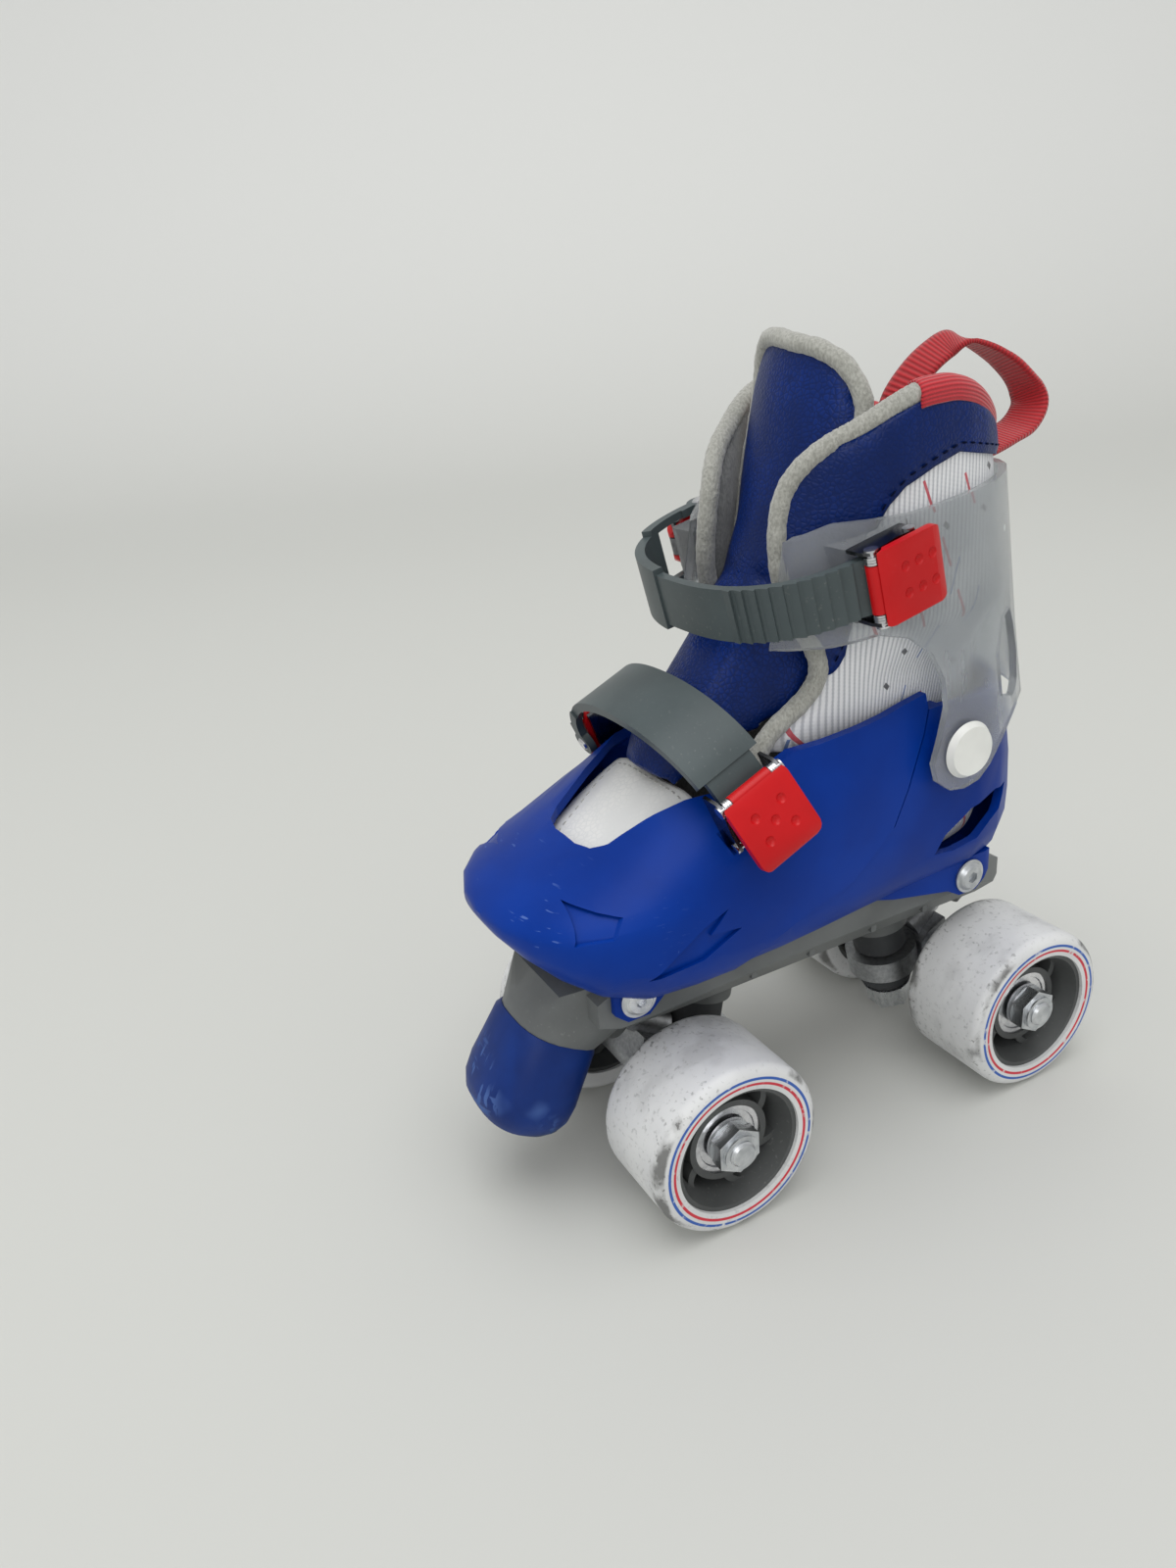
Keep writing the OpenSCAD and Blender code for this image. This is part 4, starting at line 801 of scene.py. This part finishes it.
# %% [markdown]
# ## Lining of the boot
# The lining is the velour that faces the foot. It could be chosen by the faces' direction alone,
# but the foam's round edges look every way. So a face is lining where a short ray from it meets
# the opposite wall, and above the ankle also where it looks at the leg's axis.

# %% Lining
LINING_OFF, LINING_REACH = 2, 120 * MM
LINING_LOW = 150 * MM
INWARD = 0.3

boot_tree = tree_of(boot)
cover(boot, mesh_white, grey_velour)
for face in boot.data.polygons:
    start = face.center + face.normal * LINING_OFF * MM
    opposite = boot_tree.ray_cast(start, face.normal, LINING_REACH)[0]
    to_leg = Vector((-face.center.x, LEG_Y * MM - face.center.y, 0)).normalized()
    inward = to_leg.dot(face.normal) > INWARD and face.center.z > LINING_LOW
    face.material_index = 1 if opposite is not None or inward else 0
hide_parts("liner")
print("lining:", sum(f.material_index for f in boot.data.polygons), "faces")

# %% [markdown]
# ## Rim of the boot
# The rim climbs from the front towards the heel, and band, piping and binding all follow it.
# Their paths could be typed in as points, but would float or sink wherever the smoothing moved
# the wall. Looking out from the leg's axis, a ray meets the inner and the outer wall at any
# height, so the rim is found on the boot itself and then evened.

# %% Walls of the leg
OUTSIDE = 200 * MM


def outward(turn):
    """The direction away from the leg's axis."""
    return Vector((math.cos(turn), math.sin(turn), 0))


def wall(turn, z):
    """Inner and outer point of the boot's leg at one height."""
    out = outward(turn)
    axis = mm(0, LEG_Y, z)
    inner = boot_tree.ray_cast(axis, out)[0]
    outer = boot_tree.ray_cast(axis + out * OUTSIDE, -out)[0]
    if inner is None or outer is None or (outer - axis).dot(out) < 0:
        inner = outer = boot_tree.find_nearest(axis + out * LEG_R * MM)[0]
    return inner, outer


print("wall at the side from", *(round(p.x / MM, 1) for p in wall(0, 190)), "mm")

# %% Rim
# y and height of the rim
COLLAR = [(-29, 170), (-9, 180), (-6, 195), (-1, 204.5), (7, 208.5), (14, 212.5), (21, 217),
          (28, 220), (38, 220.5), (46, 218.5), (54, 214), (60, 209.5), (66, 207), (101, 205)]
FRONT = math.radians(-50)
RIM_GUESS, RIM_UNDER, RIM_TRIES = 205.0, 2.0, 5
RIM_STEP, RIM_COUNT, RIM_EVEN = math.radians(2), 141, 6


def rim_at(turn):
    """Inner and outer point just under the rim, and the rim's height."""
    z = RIM_GUESS
    for _ in range(RIM_TRIES):
        inner, outer = wall(turn, z - RIM_UNDER)
        z = table(COLLAR, (inner.y + outer.y) / 2 / MM)
    return inner, outer, z


def evened(points, times):
    """A path with its kinks smoothed out and its ends kept."""
    for _ in range(times):
        inner = [(a + 2 * b + c) / 4 for a, b, c in zip(points, points[1:], points[2:])]
        points = [points[0], *inner, points[-1]]
    return points


rims = [rim_at(FRONT + i * RIM_STEP) for i in range(RIM_COUNT)]
rims = list(zip(*(evened([r[k] for r in rims], RIM_EVEN) for k in range(3))))


def rim(turn):
    """The rim with its unevenness smoothed out."""
    i = max(0, min(len(rims) - 2, int((turn - FRONT) / RIM_STEP)))
    share = (turn - FRONT) / RIM_STEP - i
    return [a + (b - a) * share for a, b in zip(rims[i], rims[i + 1])]


for degrees in (-50, 0, 45, 90):
    print("rim at", degrees, [round(c / MM, 1) for c in rim(math.radians(degrees))[1]])

# %% [markdown]
# ## Vinyl band
# A band of blue vinyl is sewn round the collar below the rim and runs down beside both front
# edges, with a row of stitches along its lower edge. It could be a part of the boot's mesh with
# another finish, but its edge would then be stepped and have no thickness. So it is a strip of
# its own: a grid whose points are sent to their places just off the boot, given a thickness and
# a map in millimetres for its weave. A stitch is a small sphere, drawn out along the seam.


# %% Strips of cloth
def strip(name, finish, along, across, size, place, thick):
    """A strip of cloth: place(u, v) gives its points, size its length and width in mm."""
    bm = bmesh.new()
    bmesh.ops.create_grid(bm, x_segments=along, y_segments=across, size=1.0)
    weave = bm.loops.layers.uv.new("cloth")
    for face in bm.faces:
        for corner in face.loops:
            u, v = corner.vert.co.x / 2 + 0.5, corner.vert.co.y / 2 + 0.5
            corner[weave].uv = (u * size[0], v * size[1])
    for vert in bm.verts:
        vert.co = place(vert.co.x / 2 + 0.5, vert.co.y / 2 + 0.5)
    obj = add(name, bm, finish)
    sides = obj.modifiers.new("thickness", "SOLIDIFY")
    sides.thickness = thick * MM
    sides.offset = 0
    settle(obj)
    bm = bmesh.new()
    bm.from_mesh(obj.data)
    bmesh.ops.recalc_face_normals(bm, faces=bm.faces)
    bm.to_mesh(obj.data)
    bm.free()
    return obj


print("a strip's map is in millimetres")

# %% Stitches
STITCH, STITCH_GAP, STITCH_R = 2.3, 1.2, 0.32


def stitches(name, finish, points, long=STITCH, gap=STITCH_GAP, radius=STITCH_R):
    """A row of stitches along points, in millimetres."""
    bm = bmesh.new()
    travel = 0.0
    start = None
    for a, b in zip(points, points[1:]):
        travel += (b - a).length
        if start is None:
            start = a
        if travel >= (long + gap) * MM:
            aim = (b - start).normalized()
            middle = start + aim * long * MM / 2
            turn = aim.to_track_quat("Z", "Y").to_matrix().to_4x4()
            stretch = Matrix.Diagonal((1, 1, long / 2 / radius, 1))
            bmesh.ops.create_icosphere(bm, subdivisions=1, radius=radius * MM,
                                       matrix=Matrix.Translation(middle) @ turn @ stretch)
            start, travel = None, 0.0
    return add(name, bm, finish)


print("a stitch and its gap take", STITCH + STITCH_GAP, "mm")

# %% Places on the collar
# turn from the side in degrees, and height of the band's lower edge
BAND_LOW = [(-50, 147), (-46, 148), (-40, 153), (-36, 162), (-33, 176), (-29, 186), (-23, 192.5),
            (-16, 197), (-1, 201), (13, 203.5), (42, 200), (90, 195)]
# from this turn on the band is drawn forward, and it ends this far outside the piping's line
FORWARD, PAST_PIPING = math.radians(-30), 1


def band_low(turn):
    """Height of the band's lower edge, deep where it faces the front edges."""
    return table(BAND_LOW, math.degrees(min(turn, math.pi - turn)))


def on_band(turn, z, lift):
    """A point on the boot, with the front of the band drawn forward to the piping's line."""
    near = turn < math.pi / 2
    from_side = turn if near else math.pi - turn
    ahead = math.atan2(table(EDGE_Y, z) - LEG_Y, table(EDGE_X, z) + PAST_PIPING)
    from_side += (ahead - FRONT) * ease(from_side, FORWARD, FRONT)
    turn = from_side if near else math.pi - from_side
    return wall(turn, z)[1] + outward(turn) * lift * MM


def round_leg(u, end):
    """The turn at a share of the way from one front edge round the heel to the other."""
    return FRONT + end + u * (math.pi - 2 * FRONT - 2 * end)


print("band's lower edge at the front, side and heel:",
      [round(band_low(math.radians(d)), 1) for d in (-50, 0, 90)])

# %% Vinyl band
BAND_OUT, BAND_THICK, BAND_TOP_IN = 1.1, 0.9, 2.2
# the band lies closer to the boot at its edges: share left there, and how fast it is full
BAND_THIN, BAND_FULL, BAND_TOP_FULL = 0.4, 4, 0.3
BAND_STEPS, BAND_SIZE = (220, 16), (250, 26)
BAND_END, SEAM_END = math.radians(1), math.radians(5)
SEAM_IN, SEAM_OUT, SEAM_STEPS, SEAM_EVEN = 2.4, 0.5, 500, 4


def band_place(u, v):
    turn = round_leg(u, BAND_END)
    low, top = band_low(turn), rim(turn)[2] - BAND_TOP_IN
    full = min(1.0, BAND_FULL * v, BAND_FULL * (1 - v) + BAND_TOP_FULL)
    return on_band(turn, low + (top - low) * v, BAND_OUT * (BAND_THIN + (1 - BAND_THIN) * full))


def seam_place(u):
    turn = round_leg(u, SEAM_END)
    return on_band(turn, band_low(turn) + SEAM_IN, BAND_OUT + SEAM_OUT)


band = strip("collar_band", blue_vinyl, *BAND_STEPS, BAND_SIZE, band_place, BAND_THICK)
seam = [seam_place(i / SEAM_STEPS) for i in range(SEAM_STEPS + 1)]
band_seam = stitches("band_seam", thread_blue, evened(seam, SEAM_EVEN))
print("band:", len(band.data.polygons), "faces,", len(band_seam.data.polygons), "on the seam")

# %% [markdown]
# ## Piping
# A grey fleece piping runs up each front edge of the boot and back along the rim, and stops where
# the red binding takes over above the ankle. A profile could be swept along the edge in bmesh, but
# a curve with a round bevel keeps its section in every bend, so it is made as a curve and then
# turned into a mesh. Its radius varies a little, as fleece does.


# %% Smooth paths
def through(points, steps):
    """A smooth path through points, with some steps between each pair."""
    path = []
    for i in range(len(points) - 1):
        a, b, c, d = (points[max(0, min(len(points) - 1, i + k))] for k in (-1, 0, 1, 2))
        for s in range(steps):
            t = s / steps
            path.append(0.5 * (2 * b + (c - a) * t + (2 * a - 5 * b + 4 * c - d) * t * t
                               + (3 * b - a - 3 * c + d) * t ** 3))
    return path + [points[-1]]


print("3 points in 4 steps give a path of", len(through([0, 1, 2], 4)), "points")

# %% Tubes
TUBE_SEGMENTS = 4
WAVES = (1.7, 0.61)


def tube(name, finish, points, radius, uneven):
    """A piping of a radius in millimetres along points, uneven by a share of it."""
    curve = bpy.data.curves.new(name, "CURVE")
    curve.dimensions = "3D"
    curve.bevel_depth = radius * MM
    curve.bevel_resolution = TUBE_SEGMENTS
    curve.use_fill_caps = True
    line = curve.splines.new("POLY")
    line.points.add(len(points) - 1)
    for i, p in enumerate(points):
        line.points[i].co = (*p, 1)
        line.points[i].radius = 1 + uneven * math.sin(i * WAVES[0]) * math.sin(i * WAVES[1])
    guide = put(name + "_guide", curve)
    bpy.context.view_layer.update()
    bm = bmesh.new()
    bm.from_mesh(guide.to_mesh())
    bmesh.ops.remove_doubles(bm, verts=bm.verts, dist=DOUBLE)
    bmesh.ops.recalc_face_normals(bm, faces=bm.faces)
    bpy.data.objects.remove(guide)
    return add(name, bm, finish)


print("a tube has", 2 * TUBE_SEGMENTS + 4, "sides")

# %% Piping
PIPE_R, PIPE_UNEVEN = 2.8, 0.05
PIPE_FROM, PIPE_END = math.radians(-47), math.radians(-7)
PIPE_STEPS, PIPE_FINE, PIPE_EVEN = 16, 6, 14
PIPE_OUT, PIPE_SINK = 0.15, 0.4


def edge_path(side):
    """Up one front edge and back along the rim."""
    points = [mm(side * x, y, z) for z, x, y in FRONT_EDGE]
    for i in range(PIPE_STEPS):
        inner, outer, z = rim(PIPE_FROM + (PIPE_END - PIPE_FROM) * i / (PIPE_STEPS - 1))
        middle = (inner + outer) / 2 + (outer - inner) * PIPE_OUT
        points.append(Vector((side * middle.x, middle.y, (z - PIPE_SINK) * MM)))
    return evened(through(evened(points, 1), PIPE_FINE), PIPE_EVEN)


pipes = [tube("piping_" + tag, grey_fleece, edge_path(side), PIPE_R, PIPE_UNEVEN)
         for side, tag in ((1, "a"), (-1, "b"))]
print("piping:", [len(p.data.polygons) for p in pipes])

# %% [markdown]
# ## Heel binding
# Round the heel a broad red binding is folded over the rim: a short skirt outside, an arc over
# the foam and a long flap inside. Offsetting the boot's own faces would copy their unevenness,
# so it is one strip of cloth whose width is shared out between these three stretches.

# %% Heel binding
BIND_FROM = math.radians(-10)
# shares of the width where the skirt and the arc end
BIND_SKIRT, BIND_OVER = 0.1, 0.42
BIND_OFF, BIND_THINNER = 1.4, 0.6
BIND_RISE, BIND_CROWN, BIND_DROP = 1.2, 3.2, 3
BIND_UNDER, BIND_IN = 2, 26
BIND_STEPS, BIND_SIZE, BIND_THICK = (110, 40), (118, 42), 1.0


def binding_place(u, v):
    """A point of the binding, from the skirt's hem over the rim to the inner hem."""
    turn = BIND_FROM + u * (math.pi - 2 * BIND_FROM)
    inner, outer, z = rim(turn)
    out = outward(turn)
    if v < BIND_SKIRT:
        return outer + out * BIND_OFF * MM + mm(0, 0, BIND_RISE - BIND_DROP * (1 - v / BIND_SKIRT))
    if v < BIND_OVER:
        t = (v - BIND_SKIRT) / (BIND_OVER - BIND_SKIRT) * math.pi
        middle, half = (inner + outer) / 2, (outer - inner) / 2
        arc = (half + out * BIND_OFF * MM) * math.cos(t)
        return middle + arc + mm(0, 0, BIND_RISE + BIND_CROWN * math.sin(t))
    drop = (v - BIND_OVER) / (1 - BIND_OVER)
    low = wall(turn, z - BIND_UNDER - BIND_IN * drop)[0]
    return low - out * (BIND_OFF - BIND_THINNER * drop) * MM + mm(0, 0, BIND_RISE * (1 - drop))


binding = strip("heel_binding", red_binding, *BIND_STEPS, BIND_SIZE, binding_place, BIND_THICK)
print("binding:", len(binding.data.polygons), "faces")

# %% [markdown]
# ## Tongue
# The tongue is a padded vinyl flap, velour at the back. It could be modelled as a bent slab, but
# padding swells between its edges, so a remeshed copy of its solid is blown up a little by a
# cloth simulation with pressure and then made finer. The top slopes to the near corner, as on a
# worn skate, and the low sides tuck back under the boot's edges.

# %% Padding
PUFF_STEPS = 20


def puff(obj, pressure, cap):
    """Blows a closed piece up by cloth pressure; no point moves further than the cap, in mm."""
    rest = [v.co.copy() for v in obj.data.vertices]
    cloth = obj.modifiers.new("puff", "CLOTH")
    cloth.settings.use_pressure = True
    cloth.settings.uniform_pressure_force = pressure
    cloth.settings.effector_weights.gravity = 0
    for step in range(1, PUFF_STEPS + 1):
        scene.frame_set(step)
    settle(obj)
    scene.frame_set(1)
    for vert, was in zip(obj.data.vertices, rest):
        move = vert.co - was
        if move.length > cap * MM:
            vert.co = was + move.normalized() * cap * MM


tongue = soft_copy("tongue_pad", "tongue", cell=2.4, rounds=4)
puff(tongue, pressure=4.0, cap=1.6)
finer = tongue.modifiers.new("finer", "SUBSURF")
finer.levels = finer.render_levels = 1
settle(tongue)
print("tongue:", len(tongue.data.polygons), "faces")

# %% Tongue
# x and how far the worn top comes down there
TOP_DROP = [(-23, 2.0), (-8, 2.8), (8, 5.5), (16, 8.8), (20, 12.0), (23, 16.0)]
TOP_FROM, TOP_FULL = 190, 237
# where the tuck starts and where it is full
TUCK_X, TUCK_LOW, TUCK_HIGH = (10, 23), (118, 128), (166, 152)
TUCK_BACK, TUCK_NARROW = 18, 0.06
BACK_LEAN, BACK_FROM = 0.15, 0.05


def drawn_down(p):
    """The worn tongue: its top slopes to the near corner and its low sides tuck into the boot."""
    x, y, z = p / MM
    high = max(0.0, (z - TOP_FROM) / (TOP_FULL - TOP_FROM))
    tuck = ease(abs(x), *TUCK_X) * ease(z, *TUCK_LOW) * ease(z, *TUCK_HIGH)
    return mm(x * (1 - TUCK_NARROW * tuck), y + TUCK_BACK * tuck,
              z - table(TOP_DROP, x) * high * high)


for vert in tongue.data.vertices:
    vert.co = drawn_down(vert.co)
cover(tongue, blue_vinyl, grey_velour)
for face in tongue.data.polygons:
    face.material_index = 1 if face.normal.y - BACK_LEAN * face.normal.z > BACK_FROM else 0
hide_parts("tongue")
print("tongue's back:", sum(f.material_index for f in tongue.data.polygons), "faces")

# %% [markdown]
# ## Tongue's edge
# A fleece piping closes the tongue's sides and top. It could be found by walking along the
# mesh's rim, but the remeshed rim zigzags. Its path is the tongue's middle line, set off to both
# sides and joined over the top, and it goes through the same wear as the tongue.

# %% Tongue edge
# y and height along the middle of the tongue
TONGUE = [(-42, 124), (-34, 132), (-22, 142), (-9, 156), (1.5, 170), (7.5, 185), (12, 203),
          (16, 220), (17, 237)]
TONGUE_HALF, TONGUE_BACK = 22.2, 4
SIDE_FIRST, CORNER = 18, 2
LINE_FINE, EDGE_FINE, EDGE_EVEN = 4, 3, 20
TOP_X, TOP_AHEAD, TOP_BOW, TOP_SINK = range(18, -19, -4), 2, 6, 0.5
EDGE_R, EDGE_UNEVEN = 2.6, 0.06


def tongue_edge():
    """The outline of the tongue, from one lower corner over the top to the other."""
    line = through([Vector((0, y, z)) for y, z in TONGUE], LINE_FINE)
    side = []
    for i in range(SIDE_FIRST, len(line)):
        ahead = (line[min(i + 1, len(line) - 1)] - line[i - 1]).normalized()
        off = Vector((TONGUE_HALF, ahead.z * TONGUE_BACK, -ahead.y * TONGUE_BACK))
        side.append(line[i] + off)
    far = [Vector((-p.x, p.y, p.z)) for p in reversed(side)]
    top = line[-1]
    over = [Vector((x, top.y - TOP_AHEAD + TOP_BOW * (x / TONGUE_HALF) ** 2, top.z - TOP_SINK))
            for x in TOP_X]
    outline = through(side[:-CORNER] + over + far[CORNER:], EDGE_FINE)
    return [drawn_down(p * MM) for p in evened(outline, EDGE_EVEN)]


tongue_pipe = tube("tongue_piping", grey_fleece, tongue_edge(), EDGE_R, EDGE_UNEVEN)
print("tongue piping:", len(tongue_pipe.data.polygons), "faces")

# %% [markdown]
# ## Toe patch
# A white vinyl patch with a pale seam covers the toe, where the shell is open. It could be
# projected with a Shrinkwrap modifier, but stretched vinyl spans the toe flatter than the foam
# below it. So each point is dropped on the boot by a ray and lifted more towards the sides.

# %% Toe patch
# y and half width of the patch and of its seam
PATCH_HALF = [(-70.5, 9), (-68, 12.5), (-65, 16.5), (-61, 18.5), (-57, 20), (-53, 21.5),
              (-49, 22.5), (-43, 23), (-35.5, 23)]
HEM_HALF = [(-66, 9), (-65, 10.5), (-61, 13.5), (-57, 15), (-53, 16.5), (-47, 18.8), (-38, 20)]
PATCH_FRONT, PATCH_REAR = PATCH_HALF[0][0], PATCH_HALF[-1][0]
PATCH_OVER, PATCH_FLAT, PATCH_THICK = 2.6, 2.6, 1.2
PATCH_STEPS, PATCH_SIZE = (48, 34), (46, 43)
ABOVE, HEM_OUT, HEM_STEPS = 200, 0.1, 80


def on_patch(x, y, lift):
    """A point over the boot's toe, less curved across than the boot."""
    hit = boot_tree.ray_cast(mm(x, y, ABOVE), Vector((0, 0, -1)))[0]
    return hit + mm(0, 0, PATCH_OVER + PATCH_FLAT * (x / PATCH_HALF[-1][1]) ** 2 + lift)


def patch_place(u, v):
    y = PATCH_FRONT + (PATCH_REAR - PATCH_FRONT) * v
    return on_patch(table(PATCH_HALF, y) * (2 * u - 1), y, 0)


def hem_path():
    """The seam, once round just inside the opening of the shell."""
    front, rear = HEM_HALF[0], HEM_HALF[-1]
    shares = [i / HEM_STEPS for i in range(HEM_STEPS + 1)]
    ys = [front[0] + (rear[0] - front[0]) * t for t in shares]
    near = [(table(HEM_HALF, y), y) for y in ys]
    across = [1 - 2 * t for t in shares]
    path = near + [(rear[1] * t, rear[0]) for t in across] + [(-x, y) for x, y in reversed(near)]
    path += [(-front[1] * t, front[0]) for t in across]
    return [on_patch(x, y, PATCH_THICK / 2 + HEM_OUT) for x, y in path]


patch = strip("toe_patch_vinyl", white_vinyl, *PATCH_STEPS, PATCH_SIZE, patch_place, PATCH_THICK)
patch_seam = stitches("patch_seam", thread_pale, hem_path(), long=2.0, gap=0.9, radius=0.3)
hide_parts("toe_patch")
patch_area = sum(f.area for f in patch.data.polygons) / 2 / MM ** 2
print("patch:", len(patch.data.polygons), "faces,", round(patch_area), "mm2")

# %% [markdown]
# ## Insole
# A felt insole lies in the boot. It could be a strip of cloth like the band, but felt is thick and
# its edge is round. So it gets what the boot got: a soft copy of its solid, in small cells.

# %% Insole
insole = soft_copy("insole", "footbed", cell=1.6, rounds=4)
cover(insole, grey_velour)
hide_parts("footbed")
print("insole:", len(insole.data.polygons), "faces")

# %% [markdown]
# ## Pull loop
# A loop of red webbing is sewn in at the heel to pull the boot on. A cloth simulation could hang
# it, but stiff webbing keeps the bow that it was sewn with. So it is one strip along a route that
# repeats the solid's points, with its width kept as near to one direction as the route allows.

# %% Pull loop
LOOP = [(-12, 60, 205), (-11.5, 62.5, 213), (-10, 69, 221), (-8, 75.5, 226), (-6, 79.5, 227.6),
        (-4, 83.5, 226.4), (-1, 88.5, 223.2), (2, 93.5, 218.6), (4, 97.5, 213), (6, 98, 207.6),
        (7.5, 92.5, 202.6), (8.5, 84.5, 200.4), (9, 77.5, 198.6), (9, 72.5, 197.6)]
LOOP_WIDE, LOOP_THICK = 11, 1.3
LOOP_STEPS, LOOP_FINE = (96, 6), 8
LOOP_LEAN = Vector((0.949, 0.245, -0.203))
loop_line = through([mm(*p) for p in LOOP], LOOP_FINE)
loop_long = sum((b - a).length for a, b in zip(loop_line, loop_line[1:])) / MM


def loop_place(u, v):
    last = len(loop_line) - 1
    i = min(last - 1, int(u * last + DOUBLE))
    here = loop_line[i].lerp(loop_line[i + 1], u * last - i)
    ahead = (loop_line[min(i + 2, last)] - loop_line[max(i - 1, 0)]).normalized()
    side = (LOOP_LEAN - ahead * LOOP_LEAN.dot(ahead)).normalized()
    return here + side * (v - 0.5) * LOOP_WIDE * MM


loop = strip("pull_strap", red_webbing, *LOOP_STEPS, (loop_long, LOOP_WIDE), loop_place, LOOP_THICK)
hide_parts("pull_loop")
print("pull loop:", round(loop_long), "mm of webbing")

# %% [markdown]
# ## What moves with what
# The boot's foot stays in the base and its leg leans with the cuff. The boot could be cut at the
# ankle, but sewn foam bends, so it is not cut; the pieces sewn to the leg only have their
# placement baked into their meshes here. What lies on the foot rides with the base.

# %% Ride and bake
sewn_to_leg = (boot, band, band_seam, *pipes, binding, tongue, tongue_pipe, loop)
for piece in sewn_to_leg:
    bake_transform(piece)
for piece in (patch, patch_seam, insole):
    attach(piece, "base")
print("bending pieces:", len(sewn_to_leg))

# %% [markdown]
# ## Floor and back wall
# The skate stands on a pale seamless sweep, a floor that curves up into a wall. A flat plane
# would end in a hard line behind the skate. So a profile of two lines has its corner bevelled to
# an arc and is extruded sideways, across the view. Its colour goes from the floor's grey to a
# paler wall. All its lengths are in metres.

# %% Floor
FLOOR_GREY = rgb(205, 206, 202)
WALL_GREY = rgb(240, 241, 239)
PALER = (0.9, 2.9)
SWEEP_PROFILE = ((0, -4, 0), (0, 3, 0), (0, 3, 4))
SWEEP_ARC, SWEEP_SEGMENTS, SWEEP_WIDE = 1.6, 24, 10


def sweep():
    bm = bmesh.new()
    profile = [bm.verts.new(p) for p in SWEEP_PROFILE]
    for pair in zip(profile, profile[1:]):
        bm.edges.new(pair)
    bmesh.ops.bevel(bm, geom=[profile[1]], offset=SWEEP_ARC, segments=SWEEP_SEGMENTS,
                    profile=0.5, affect="VERTICES", material=-1)
    out = bmesh.ops.extrude_edge_only(bm, edges=bm.edges[:])
    moved = [v for v in out["geom"] if isinstance(v, bmesh.types.BMVert)]
    bmesh.ops.translate(bm, verts=moved, vec=(SWEEP_WIDE, 0, 0))
    bmesh.ops.translate(bm, verts=bm.verts, vec=(-SWEEP_WIDE / 2, 0, 0))
    bmesh.ops.transform(bm, matrix=Matrix.Rotation(HEADING, 4, "Z"), verts=bm.verts)
    bmesh.ops.recalc_face_normals(bm, faces=bm.faces)
    paper = Finish("paper", {"Roughness": 0.7, "Specular IOR Level": 0.2})
    x, y, _ = paper.place.split()
    away = y * math.cos(HEADING) - x * math.sin(HEADING)
    paper.feed(Base_Color=paper.mix(away.ramp(*PALER), FLOOR_GREY, WALL_GREY))
    return add("sweep", bm, paper)


floor = sweep()
print("sweep:", len(floor.data.polygons), "faces")

# %% [markdown]
# ## Light
# The light is that of a plain studio. A sky picture could give it, but then the skate would
# mirror a place. A large lamp overhead, a weaker one in front and the pale world are soft and
# even, so that a colour renders about as it is written.

# %% Lamps
AIM = Vector((0, 0, 0.08))
WORLD_TINT, WORLD_STRENGTH = (1.0, 1.0, 0.99, 1), 0.62


def lamp(name, place, size, watts):
    """A round lamp that faces the skate, in metres and watts."""
    light = bpy.data.lights.new(name, "AREA")
    light.shape = "DISK"
    light.size = size
    light.energy = watts
    obj = put(name, light)
    obj.location = place
    obj.rotation_euler = (AIM - Vector(place)).to_track_quat("-Z", "Y").to_euler()
    return obj


lamps = [lamp("overhead", (0.3, -0.2, 2.6), size=2.4, watts=34),
         lamp("front_fill", (1.6, -1.3, 1.3), size=1.4, watts=8)]
scene.world = bpy.data.worlds.new("studio")
scene.world.use_nodes = True
background = scene.world.node_tree.nodes["Background"]
background.inputs["Color"].default_value = WORLD_TINT
background.inputs["Strength"].default_value = WORLD_STRENGTH
scene.view_settings.view_transform = "Standard"
print("lamps:", [obj.name for obj in lamps])
